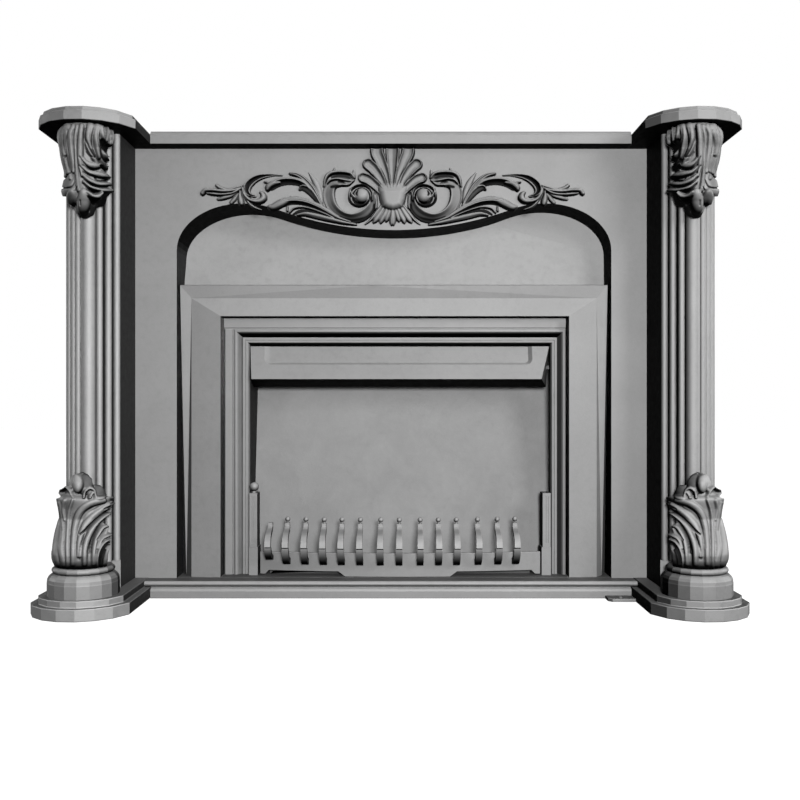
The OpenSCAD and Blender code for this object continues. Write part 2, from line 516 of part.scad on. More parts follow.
module ashpan() {
  difference() {
    box([-285, 50, rail_h + 1], [325, 108, 62]);
    box([-281, 54, rail_h + 5], [321, 104, 66]);
  }
  // tabs that tie the tray to the back of the fret
  intersection() {
    translate([0, 0, -1]) bow(fr_r - 8);
    for (x = [-270, 292]) box([x, 20, 51], [x + 20, 50.5, 61]);
  }
}
module ashpan_handle() difference() {
  box([-20, 28, 50], [62, 50, 58]);
  box([-14, 34, 49], [56, 51, 59]);
}

color(iron) floor_rail();
color(iron_dark) floor_lug();
color(iron) side(-1) plinth();  // plinth_left
color(iron) side(1) plinth();  // plinth_right
color(iron) side(-1) column_base();  // column_base_left
color(iron) side(1) column_base();  // column_base_right
color(iron) side(-1) column_shaft();  // column_shaft_left
color(iron) side(1) column_shaft();  // column_shaft_right
color(iron) side(-1) base_acanthus();  // base_acanthus_left
color(iron) side(1) base_acanthus();  // base_acanthus_right
color(iron) side(-1) capital_acanthus();  // capital_acanthus_left
color(iron) side(1) capital_acanthus();  // capital_acanthus_right
color(iron) side(-1) capital_slab();  // capital_slab_left
color(iron) side(1) capital_slab();  // capital_slab_right
color(iron) mantel_rail();
color(iron) front_panel();
color(iron) shell_cartouche();
color(iron) scroll(-1);  // scroll_left
color(iron) scroll(1);  // scroll_right
color(steel) applique_studs();
color(steel) column_bolts();
color(steel) wall_brackets();
color(iron) hood_plate();
color(iron) insert_frame();
color(iron) trim_frame();
color(iron) canopy();
color(iron_dark) canopy_pegs();
color(iron) fireback();
color(iron_dark) cheek(trim_x0 - 10, trim_x0);  // cheek_left
color(iron_dark) cheek(cheek_x1, cheek_x1 + 10);  // cheek_right
color(iron_dark) hearth_plate();
color(iron_black) hearth_bearers();
color(iron_black) smoke_shelf();
color(iron_black) flue_gather();
color(steel) gather_bolts();
color(iron_black) flue_spigot();
color(iron_dark) damper_brackets();
color(iron_dark) damper_flap();
color(steel) damper_rod();
color(iron_dark) damper_knob();
color(iron_dark) grate_rests();
color(iron_dark) fire_grate();
color(iron) post_left();
color(iron) post_right();
color(iron) post_ball();
color(iron) fret_plate();
color(iron) fire_bars();
color(iron) bar_balls();
color(iron_dark) ashpan();
color(steel) ashpan_handle();
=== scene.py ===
import bpy
import bmesh
import json
import math
import numpy as np
from mathutils import Vector, Matrix

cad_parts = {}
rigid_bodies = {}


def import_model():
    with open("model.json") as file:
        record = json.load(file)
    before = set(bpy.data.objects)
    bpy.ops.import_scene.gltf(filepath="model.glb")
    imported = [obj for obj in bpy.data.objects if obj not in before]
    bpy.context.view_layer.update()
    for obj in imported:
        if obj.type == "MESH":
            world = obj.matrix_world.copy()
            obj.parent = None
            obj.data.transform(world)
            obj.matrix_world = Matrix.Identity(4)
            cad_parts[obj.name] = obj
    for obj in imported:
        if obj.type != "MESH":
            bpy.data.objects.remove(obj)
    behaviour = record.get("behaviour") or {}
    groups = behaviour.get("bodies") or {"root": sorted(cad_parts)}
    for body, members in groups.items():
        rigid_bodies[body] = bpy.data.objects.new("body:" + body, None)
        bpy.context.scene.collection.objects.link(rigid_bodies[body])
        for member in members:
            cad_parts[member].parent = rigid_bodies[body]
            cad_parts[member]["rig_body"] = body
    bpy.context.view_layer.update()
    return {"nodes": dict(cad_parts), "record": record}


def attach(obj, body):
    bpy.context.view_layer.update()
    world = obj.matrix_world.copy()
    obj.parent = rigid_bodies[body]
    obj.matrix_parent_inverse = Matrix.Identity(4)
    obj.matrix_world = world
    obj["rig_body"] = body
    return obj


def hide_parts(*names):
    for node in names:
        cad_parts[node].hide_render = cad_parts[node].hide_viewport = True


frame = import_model()
NODES = frame["nodes"]
scene = bpy.context.scene

# ---------------------------------------------------------------- camera
cam_data = bpy.data.cameras.new("camera")
cam = bpy.data.objects.new("camera", cam_data)
scene.collection.objects.link(cam)
cam_data.sensor_fit = "HORIZONTAL"
cam_data.sensor_width = 36.0
cam_data.lens = 43.456
cam_data.clip_end = 60.0
cam.location = (0.0207, -2.2172, 0.4466)
cam.rotation_euler = (math.radians(90), 0, 0)
scene.camera = cam


# ---------------------------------------------------------------- node helpers
def new_mat(name):
    m = bpy.data.materials.new(name)
    m.use_nodes = True
    nt = m.node_tree
    nt.nodes.clear()
    out = nt.nodes.new("ShaderNodeOutputMaterial")
    bsdf = nt.nodes.new("ShaderNodeBsdfPrincipled")
    nt.links.new(bsdf.outputs[0], out.inputs[0])
    return m, nt, bsdf


def noise(nt, coord, scale, detail=4.0, rough=0.55, distort=0.0):
    n = nt.nodes.new("ShaderNodeTexNoise")
    n.inputs["Scale"].default_value = scale
    n.inputs["Detail"].default_value = detail
    n.inputs["Roughness"].default_value = rough
    n.inputs["Distortion"].default_value = distort
    nt.links.new(coord, n.inputs["Vector"])
    return n.outputs["Fac"]


def ramp(nt, fac, stops):
    r = nt.nodes.new("ShaderNodeValToRGB")
    el = r.color_ramp.elements
    while len(el) < len(stops):
        el.new(0.5)
    for e, (p, c) in zip(el, stops):
        e.position = p
        e.color = (c, c, c, 1) if isinstance(c, float) else (*c, 1)
    nt.links.new(fac, r.inputs["Fac"])
    return r.outputs["Color"]


def math_node(nt, op, a, b=None):
    n = nt.nodes.new("ShaderNodeMath")
    n.operation = op
    for i, v in enumerate((a, b)):
        if v is None:
            continue
        if isinstance(v, (int, float)):
            n.inputs[i].default_value = v
        else:
            nt.links.new(v, n.inputs[i])
    return n.outputs[0]


def mix_rgb(nt, blend, fac, a, b):
    n = nt.nodes.new("ShaderNodeMix")
    n.data_type = "RGBA"
    n.blend_type = blend
    for sock, v in ((n.inputs[0], fac), (n.inputs[6], a), (n.inputs[7], b)):
        if isinstance(v, (int, float)):
            sock.default_value = v
        elif isinstance(v, tuple):
            sock.default_value = (*v, 1)
        else:
            nt.links.new(v, sock)
    return n.outputs[2]


def iron(name, base, rough=0.62, metallic=0.25, wear=0.35, grain=0.35, soot=0.0, hollow_shade=0.0, painted_shade=False, painted_light_cap=2.0):
    """Sand-cast iron: mottled tone, pitted grain, rubbed edges, faint streaks, painted shade in the hollows and painted
    light and shade by the way each face turns.
    """
    m, nt, bsdf = new_mat(name)
    tc = nt.nodes.new("ShaderNodeTexCoord")
    co = tc.outputs["Object"]
    geo = nt.nodes.new("ShaderNodeNewGeometry")
    blotch = noise(nt, co, 5.0, 5.0, 0.6, 0.4)
    fine = noise(nt, co, 70.0, 6.0, 0.65)
    sand = noise(nt, co, 900.0, 3.0, 0.7)
    pits = nt.nodes.new("ShaderNodeTexVoronoi")
    pits.inputs["Scale"].default_value = 260.0
    nt.links.new(co, pits.inputs["Vector"])
    b = tuple(base)
    col = ramp(nt, blotch, [(0.3, tuple(c * 0.93 for c in b)), (0.52, b), (0.75, tuple(min(1, c * 1.06) for c in b))])
    col = mix_rgb(nt, "MULTIPLY", 1.0, col, ramp(nt, fine, [(0.3, 0.90), (0.55, 1.0), (0.8, 1.0)]))
    col = mix_rgb(nt, "MULTIPLY", 0.7, col, ramp(nt, sand, [(0.35, 0.86), (0.6, 1.0)]))
    # rubbed edges: where a rounded normal leaves the face's own
    bev = nt.nodes.new("ShaderNodeBevel")
    bev.samples = 4
    bev.inputs["Radius"].default_value = 0.0025
    dot = nt.nodes.new("ShaderNodeVectorMath")
    dot.operation = "DOT_PRODUCT"
    nt.links.new(bev.outputs[0], dot.inputs[0])
    nt.links.new(geo.outputs["Normal"], dot.inputs[1])
    edge = math_node(nt, "SUBTRACT", 1.0, dot.outputs["Value"])
    edge = math_node(nt, "MULTIPLY", edge, 6.0)
    edge = math_node(nt, "MULTIPLY", edge, ramp(nt, noise(nt, co, 38.0, 4.0, 0.7), [(0.38, 0.0), (0.62, 1.0)]))
    edge_c = nt.nodes.new("ShaderNodeClamp")
    nt.links.new(edge, edge_c.inputs[0])
    worn = math_node(nt, "MULTIPLY", edge_c.outputs[0], wear)
    col = mix_rgb(nt, "MIX", worn, col, tuple(min(1, c * 1.5) for c in b))
    if soot > 0:
        s = ramp(nt, noise(nt, co, 9.0, 6.0, 0.7, 0.8), [(0.35, 1.0 - soot), (0.7, 1.0)])
        col = mix_rgb(nt, "MULTIPLY", 1.0, col, s)
    # painted shade: concave hollows, where the mesh's pointiness is low, are darkened
    if hollow_shade > 0:
        pt = ramp(nt, geo.outputs["Pointiness"], [(0.44, 1.0 - hollow_shade), (0.505, 1.0)])
        col = mix_rgb(nt, "MULTIPLY", 1.0, col, pt)
    # painted light and shade: the colour is scaled by how squarely each face turns to a light from the front, a little
    # above and to the right, so faces turned that way come up pale, and undersides and the side faces inside the
    # openings are painted black
    spec = None
    if painted_light_cap:
        sep = nt.nodes.new("ShaderNodeSeparateXYZ")
        nt.links.new(geo.outputs["Normal"], sep.inputs[0])
        pos = nt.nodes.new("ShaderNodeSeparateXYZ")
        nt.links.new(geo.outputs["Position"], pos.inputs[0])
        light_facing = nt.nodes.new("ShaderNodeVectorMath")
        light_facing.operation = "DOT_PRODUCT"
        nt.links.new(geo.outputs["Normal"], light_facing.inputs[0])
        light_facing.inputs[1].default_value = PAINTED_LIGHT_DIR
        s_ = math_node(nt, "MAXIMUM", math_node(nt, "DIVIDE", light_facing.outputs["Value"], -PAINTED_LIGHT_DIR[1]), 0.0)
        s_ = math_node(nt, "POWER", s_, 2.1)
        face = math_node(nt, "MAXIMUM", math_node(nt, "MULTIPLY", sep.outputs[1], -1.0), 0.5)
        s_ = math_node(nt, "MINIMUM", math_node(nt, "DIVIDE", s_, face), painted_light_cap)
        # the flanks and the back are left out of the painted light: they keep a middling painted shade
        away = math_node(nt, "MULTIPLY", sep.outputs[0], math_node(nt, "SIGN", pos.outputs[0]))
        away = ramp(nt, away, [(0.35, 0.0), (0.9, 1.0)])
        rear = ramp(nt, sep.outputs[1], [(0.1, 0.0), (0.6, 1.0)])
        keep = math_node(nt, "MAXIMUM", away, rear)
        keep = math_node(nt, "MULTIPLY", keep, 0.45)
        keep = math_node(nt, "MAXIMUM", s_, keep)
        col = mix_rgb(nt, "MULTIPLY", 1.0, col, keep)
        # the specular follows the painted light and shade, so faces painted dark show no reflection
        spec = ramp(nt, keep, [(0.0, 0.0), (0.9, 1.0)])
    # painted shade on the carved relief: a per-point attribute turns the colour near black where the drawing marks
    # hollows and faces turned from the light, and takes the specular away there
    if painted_shade:
        at = nt.nodes.new("ShaderNodeAttribute")
        at.attribute_name = "painted_shade"
        g = ramp(nt, at.outputs["Fac"], [(0.0, 0.0), (0.5, 0.38), (0.9, 1.0)])
        g = math_node(nt, "MULTIPLY", g, ramp(nt, blotch, [(0.3, 0.97), (0.75, 0.93)]))
        col = mix_rgb(nt, "MIX", g, col, (0.003, 0.003, 0.003))
        spec = mix_rgb(nt, "MULTIPLY", 1.0, spec, ramp(nt, g, [(0.0, 1.0), (1.0, 0.0)]))
    if spec is not None:
        nt.links.new(mix_rgb(nt, "MULTIPLY", 1.0, spec, (0.5, 0.5, 0.5)), bsdf.inputs["Specular IOR Level"])
    nt.links.new(col, bsdf.inputs["Base Color"])
    bsdf.inputs["Metallic"].default_value = metallic
    r = ramp(nt, fine, [(0.3, max(0.0, rough - 0.07)), (0.7, min(1.0, rough + 0.08))])
    nt.links.new(r, bsdf.inputs["Roughness"])
    bsdf.inputs["IOR"].default_value = 1.5
    h = math_node(nt, "ADD", math_node(nt, "MULTIPLY", sand, 0.5), math_node(nt, "MULTIPLY", fine, 0.6))
    h = math_node(nt, "ADD", h, math_node(nt, "MULTIPLY", pits.outputs["Distance"], 0.35))
    bump = nt.nodes.new("ShaderNodeBump")
    bump.inputs["Strength"].default_value = grain
    bump.inputs["Distance"].default_value = 0.0006
    nt.links.new(h, bump.inputs["Height"])
    nt.links.new(bump.outputs[0], bsdf.inputs["Normal"])
    return m


GREY = 0.25
# the direction of the light painted into the iron colours: from the front, a little above and to the right
PAINTED_LIGHT_DIR = (0.2, -0.86, 0.47)
MATS = {
    "iron_front": iron("iron_front", (GREY, GREY, GREY)),
    "iron_inner": iron("iron_inner", (GREY * 0.9, GREY * 0.9, GREY * 0.9), rough=0.75, metallic=0.1, wear=0.15, soot=0.18),
    "iron_back": iron("iron_back", (0.13, 0.13, 0.132), rough=0.8, metallic=0.15, wear=0.25, grain=0.6, painted_light_cap=None),
    "steel": iron("steel", (0.40, 0.40, 0.41), rough=0.45, metallic=0.7, wear=0.5, grain=0.15, painted_light_cap=None),
    "iron_relief": iron("iron_relief", (GREY, GREY, GREY), hollow_shade=0.25, grain=0.18, painted_shade=True),
}
# per-casting brightness factors: most are painted light and shade, so that parts come out as the light would leave them
# (the hood brighter, the left plinth, shaft and cheek lighter against the lamp on the right); the ashpan is a dark
# sooty pan
TONE_AND_PAINTED_LIGHT = {"hood_plate": 1.24, "plinth_left": 1.3, "plinth_right": 1.06, "floor_rail": 1.0, "mantel_rail": 1.12,
        "capital_slab_left": 1.16, "capital_slab_right": 1.08, "fireback": 0.97, "canopy": 0.88, "front_panel": 1.06,
        "cheek_left": 1.1, "insert_frame": 1.03, "column_shaft_left": 1.34, "column_shaft_right": 1.16, "ashpan": 0.25,
        "column_base_left": 0.96, "column_base_right": 0.82}
SLOT = {s["node"]: s["material_slot"] for s in frame["record"]["subparts"]}
for name, tone in TONE_AND_PAINTED_LIGHT.items():
    g = GREY * tone
    MATS[name] = iron("iron_" + name, (g, g, g), rough=0.7 if name in ("fireback", "cheek_left") else 0.62,
                      soot=0.12 if name in ("fireback", "cheek_left") else 0.0)
for name, obj in NODES.items():
    mat = MATS.get(name, MATS[SLOT[name]])
    if obj.data.materials:
        for i in range(len(obj.data.materials)):
            obj.data.materials[i] = mat
    else:
        obj.data.materials.append(mat)


# ---------------------------------------------------------------- bevelled castings
def bevelled(node, width, segments=2, angle=28.0, crease=40.0):
    """A copy of a casting with its sharp edges broken, as a mould leaves them."""
    src = NODES[node]
    me = src.data.copy()
    me.name = node + "_cast"
    bm = bmesh.new()
    bm.from_mesh(me)
    bmesh.ops.remove_doubles(bm, verts=bm.verts, dist=2e-6)
    bmesh.ops.dissolve_degenerate(bm, edges=bm.edges, dist=1e-6)
    bmesh.ops.dissolve_limit(bm, angle_limit=math.radians(0.6), verts=bm.verts, edges=bm.edges)
    bm.normal_update()
    bm.to_mesh(me)
    bm.free()
    o = bpy.data.objects.new(node + "_cast", me)
    scene.collection.objects.link(o)
    mod = o.modifiers.new("bevel", "BEVEL")
    mod.width = width
    mod.segments = segments
    mod.limit_method = "ANGLE"
    mod.angle_limit = math.radians(angle)
    mod.harden_normals = True
    mod.use_clamp_overlap = True
    mod.miter_outer = "MITER_SHARP"
    for p in me.polygons:
        p.use_smooth = True
    me.set_sharp_from_angle(angle=math.radians(crease))
    wn = o.modifiers.new("weighted", "WEIGHTED_NORMAL")
    wn.keep_sharp = True
    wn.weight = 100
    bpy.context.view_layer.update()
    dg = bpy.context.evaluated_depsgraph_get()
    done = bpy.data.meshes.new_from_object(o.evaluated_get(dg))
    o.modifiers.clear()
    o.data = done
    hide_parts(node)
    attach(o, NODES[node]["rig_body"])
    return o


# ---------------------------------------------------------------- light and floor
def area(name, loc, target, size, power, color=(1, 1, 1)):
    d = bpy.data.lights.new(name, "AREA")
    d.shape = "SQUARE"
    d.size = size
    d.energy = power
    d.color = color
    o = bpy.data.objects.new(name, d)
    scene.collection.objects.link(o)
    o.location = loc
    o.rotation_euler = (Vector(target) - Vector(loc)).to_track_quat("-Z", "Y").to_euler()
    return o


def sun(name, towards, strength, angle):
    d = bpy.data.lights.new(name, "SUN")
    d.energy = strength
    d.angle = math.radians(angle)
    o = bpy.data.objects.new(name, d)
    scene.collection.objects.link(o)
    o.rotation_euler = Vector(towards).to_track_quat("-Z", "Y").to_euler()
    return o


# a soft lamp just over the camera's shoulder, so that almost no shadow shows, and a weak one to the right
area("key", (0.16, -2.42, 0.66), (0.0, 0.0, 0.50), 0.28, 60.0)
area("side", (1.6, -2.0, 1.3), (0.3, 0.0, 0.6), 0.8, 26.0)
# a low light on the back, out of the front's way
sun("rear", (0.0, -0.995, -0.10), 1.6, 10.0)
# and one on each flank, from a little behind, so that the front plate keeps it off everything in front
sun("flank_right", (-0.93, -0.34, -0.14), 1.3, 10.0)
sun("flank_left", (0.93, -0.34, -0.14), 1.4, 10.0)

world = bpy.data.worlds.new("world")
scene.world = world
world.use_nodes = True
wnt = world.node_tree
wnt.nodes.clear()
wout = wnt.nodes.new("ShaderNodeOutputWorld")
lp = wnt.nodes.new("ShaderNodeLightPath")
bg_cam = wnt.nodes.new("ShaderNodeBackground")
bg_cam.inputs[0].default_value = (1, 1, 1, 1)
bg_cam.inputs[1].default_value = 1.0
bg_amb = wnt.nodes.new("ShaderNodeBackground")
bg_amb.inputs[0].default_value = (1, 1, 1, 1)
bg_amb.inputs[1].default_value = 0.03
wmix = wnt.nodes.new("ShaderNodeMixShader")
wnt.links.new(lp.outputs["Is Camera Ray"], wmix.inputs[0])
wnt.links.new(bg_amb.outputs[0], wmix.inputs[1])
wnt.links.new(bg_cam.outputs[0], wmix.inputs[2])
wnt.links.new(wmix.outputs[0], wout.inputs[0])
scene.view_settings.view_transform = "Standard"
scene.view_settings.look = "None"

fm = bpy.data.meshes.new("floor")
bm = bmesh.new()
bmesh.ops.create_grid(bm, x_segments=1, y_segments=1, size=12.0)
bm.to_mesh(fm)
bm.free()
floor = bpy.data.objects.new("floor", fm)
scene.collection.objects.link(floor)
floor.location = (0, 0, -0.0004)
fmat, fnt, fb = new_mat("floor")
fb.inputs["Base Color"].default_value = (0.30, 0.30, 0.30, 1)
fb.inputs["Roughness"].default_value = 0.9
fb.inputs["Emission Color"].default_value = (1, 1, 1, 1)
flp = fnt.nodes.new("ShaderNodeLightPath")
fnt.links.new(math_node(fnt, "MULTIPLY", flp.outputs["Is Camera Ray"], 0.95), fb.inputs["Emission Strength"])
fm.materials.append(fmat)

for n, w in (("mantel_rail", 0.0015), ("floor_rail", 0.0012), ("plinth_left", 0.0015), ("plinth_right", 0.0015),
             ("capital_slab_left", 0.0015), ("capital_slab_right", 0.0015), ("trim_frame", 0.0006),
             ("canopy", 0.0012), ("fret_plate", 0.001), ("post_left", 0.0008), ("post_right", 0.0008), ("fire_bars", 0.0015),
             ("floor_lug", 0.001), ("hearth_plate", 0.001), ("hood_plate", 0.001), ("flue_gather", 0.0012), ("ashpan", 0.0008)):
    bevelled(n, w, crease=12.0 if n.startswith(("plinth", "capital_slab")) else 40.0)


NODES["insert_frame"].data.set_sharp_from_angle(angle=math.radians(3.0))


def faceted_base(node, s):
    """the foot of a column, turned in flat facets as the pattern was"""
    prof = [(0.0, 39.0), (73.5, 39.0), (73.5, 66.0), (73.1, 68.0)]
    prof += [(58 + 15.5 * math.cos(math.radians(a)), 68 + 18 * math.sin(math.radians(a))) for a in (20, 40, 58, 74, 88)]
    prof += [(57.2 + 6.8 * math.cos(math.radians(a)), 92.2 + 6.8 * math.sin(math.radians(a))) for a in range(-75, 121, 15)]
    prof += [(50.0, 97.0), (0.0, 97.0)]
    bm = bmesh.new()
    angs = [math.radians(-7 + 20 * k) for k in range(18)]
    rings = []
    for r, z in prof:
        if r == 0:
            rings.append([bm.verts.new((s * 0.646, -0.182, z / 1000))])
        else:
            rings.append([bm.verts.new((s * (646 + r * math.sin(a)) / 1000, (-182 - r * math.cos(a)) / 1000, z / 1000)) for a in angs])
    for lo, hi in zip(rings, rings[1:]):
        for i in range(18):
            j = (i + 1) % 18
            if len(lo) == 1:
                bm.faces.new((lo[0], hi[i], hi[j]))
            elif len(hi) == 1:
                bm.faces.new((lo[i], lo[j], hi[0]))
            else:
                bm.faces.new((lo[i], lo[j], hi[j], hi[i]))
    cutr = bmesh.ops.bisect_plane(bm, geom=bm.verts[:] + bm.edges[:] + bm.faces[:], plane_co=(0, -0.1185, 0), plane_no=(0, 1, 0), clear_outer=True)
    bmesh.ops.holes_fill(bm, edges=[e for e in bm.edges if e.is_boundary])
    bmesh.ops.recalc_face_normals(bm, faces=bm.faces)
    me = bpy.data.meshes.new(node + "_cast")
    bm.to_mesh(me)
    bm.free()
    me.materials.append(MATS.get(node, MATS[SLOT[node]]))
    o = bpy.data.objects.new(node + "_cast", me)
    scene.collection.objects.link(o)
    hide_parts(node)
    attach(o, NODES[node]["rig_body"])


faceted_base("column_base_left", -1)
faceted_base("column_base_right", 1)

# ---------------------------------------------------------------- carved relief
# The shell, the scrolls and the leaves are drawn as limbs on a drafting grid: each limb is a smooth path with a half
# width, a cross profile and a depth of painted shade (dark on the flanks and hollows turned from the light), and the
# highest limb wins.
def spline(pts, step=0.7):
    p = np.array([tuple(q) + (1.0,) * (4 - len(q)) for q in pts], float)
    q = np.vstack([2 * p[0] - p[1], p, 2 * p[-1] - p[-2]])
    out = []
    for i in range(1, len(q) - 2):
        a, b, c, d = q[i - 1], q[i], q[i + 1], q[i + 2]
        n = max(2, int(math.hypot(c[0] - b[0], c[1] - b[1]) / step))
        for k in range(n):
            t = k / n
            out.append(0.5 * (2 * b + (c - a) * t + (2 * a - 5 * b + 4 * c - d) * t * t + (3 * b - a - 3 * c + d) * t ** 3))
    out.append(q[-2])
    s = np.array(out)
    s[:, 2] = np.maximum(s[:, 2], 0.15)
    s[:, 3] = np.clip(s[:, 3], 0.0, 1.5)
    return s


class Relief:
    def __init__(self, U, V):
        self.U, self.V = U.ravel(), V.ravel()
        self.shape = U.shape
        self.F = np.full(self.U.shape, -30.0)
        self.low = 1.5
        self.D = np.zeros(self.U.shape)

    def near(self, s, margin):
        w = s[:, 2].max() + margin
        idx = np.where((self.U > s[:, 0].min() - w) & (self.U < s[:, 0].max() + w)
                       & (self.V > s[:, 1].min() - w) & (self.V < s[:, 1].max() + w))[0]
        u, v = self.U[idx], self.V[idx]
        key = np.full(len(idx), 1e9)
        dist, side, width, high, frac = (np.zeros(len(idx)) for _ in range(5))
        n = len(s) - 1
        for i in range(n):
            a, b = s[i], s[i + 1]
            dx, dy = b[0] - a[0], b[1] - a[1]
            t = np.clip(((u - a[0]) * dx + (v - a[1]) * dy) / (dx * dx + dy * dy + 1e-12), 0, 1)
            px, py = u - (a[0] + t * dx), v - (a[1] + t * dy)
            r = np.hypot(px, py)
            wi = a[2] + (b[2] - a[2]) * t
            m = r / wi < key
            key = np.where(m, r / wi, key)
            dist = np.where(m, r, dist)
            side = np.where(m, np.where(dx * py - dy * px >= 0, 1.0, -1.0) * r / wi, side)
            width = np.where(m, wi, width)
            high = np.where(m, a[3] + (b[3] - a[3]) * t, high)
            frac = np.where(m, (i + t) / n, frac)
        return idx, dist, side, width, high, frac

    # dark paints shade across the limb's width and tip paints a dark crescent at its end: painted shade where flanks
    # turn from the light
    def limb(self, pts, prof, h, dark=None, tip=None, base=0.0, soft=0.7, over=False):
        idx, dist, side, width, high, frac = self.near(spline(pts), 2.5)
        t = np.clip(side, -1, 1)
        val = base + np.interp(t, [q[0] for q in prof], [q[1] for q in prof]) * h * high
        room = width - dist
        f = np.where(room > 0, val * np.clip(room / soft, 0, 1) ** 0.5, room * 9.0)
        if over:
            f = np.where(room > 0, np.maximum(self.F[idx], 0) + f, self.F[idx])
        d = np.zeros(len(idx))
        if dark:
            d = np.interp(t, [q[0] for q in dark], [q[1] for q in dark])
        if tip:
            d = np.maximum(d, np.where(frac > 0.999, np.interp(np.abs(t), [tip[0], (tip[0] + tip[1]) / 2, tip[1]], [0, tip[2], 0]), 0))
        win = f > self.F[idx]
        self.F[idx] = np.where(win, f, self.F[idx])
        self.D[idx] = np.where(win & (room > 0), d, self.D[idx])

    # cuts a real groove and paints its floor dark: painted shade in the groove
    def cut(self, pts, h, dark=1.0):
        idx, dist, side, width, high, frac = self.near(spline(pts), 1.0)
        k = np.clip((width - dist) / width, 0, 1)
        on = (self.F[idx] > self.low) & (k > 0)
        self.F[idx] = np.where(on, np.maximum(self.low, self.F[idx] - h * high * np.sqrt(k)), self.F[idx])
        self.D[idx] = np.where(on, np.maximum(self.D[idx], dark * np.clip(k * 1.8, 0, 1)), self.D[idx])

    # paints shade over a patch without changing the shape: painted shade
    def shade_patch(self, pts, dark):
        idx, dist, side, width, high, frac = self.near(spline(pts), 1.0)
        k = np.clip((width - dist) / width * 1.6, 0, 1)
        self.D[idx] = np.where(self.F[idx] > min(self.low, 0), np.maximum(self.D[idx], dark * k), self.D[idx])

    # rim paints the lower edge of the dome dark: painted shade on its underside
    def dome(self, cx, cy, rx, ry, h0, h1, power=2.0, rim=0.0, up=None, bell=False):
        q = np.hypot((self.U - cx) / rx, np.where(self.V < cy, (self.V - cy) / (up or ry), (self.V - cy) / ry))
        f = np.where(q < 1, h0 + (h1 - h0) * np.sqrt(np.clip(1 - q ** power, 0, 1)), -30)
        if bell:
            dx = np.clip(np.abs(self.U - cx) / rx, 0, 1)
            dy = np.clip((cy - self.V) / (up or ry), 0, 1)
            f = np.where((dx < 1) & (dy > 0) & (dy < 1), (h0 + (h1 - h0) * np.sqrt(1 - dx ** power)) * np.cos(dy * math.pi / 2) ** 0.8, f)
        win = f > self.F
        self.F = np.where(win, f, self.F)
        self.D = np.where(win, np.where(self.V > cy + 0.45 * ry, rim * np.clip((q - 0.72) * 4, 0, 1), 0.0), self.D)

    def grids(self):
        return self.F.reshape(self.shape), self.D.reshape(self.shape)


RIB = [(-1, .25), (-.8, .62), (-.45, .9), (0, 1), (.45, .9), (.8, .62), (1, .25)]


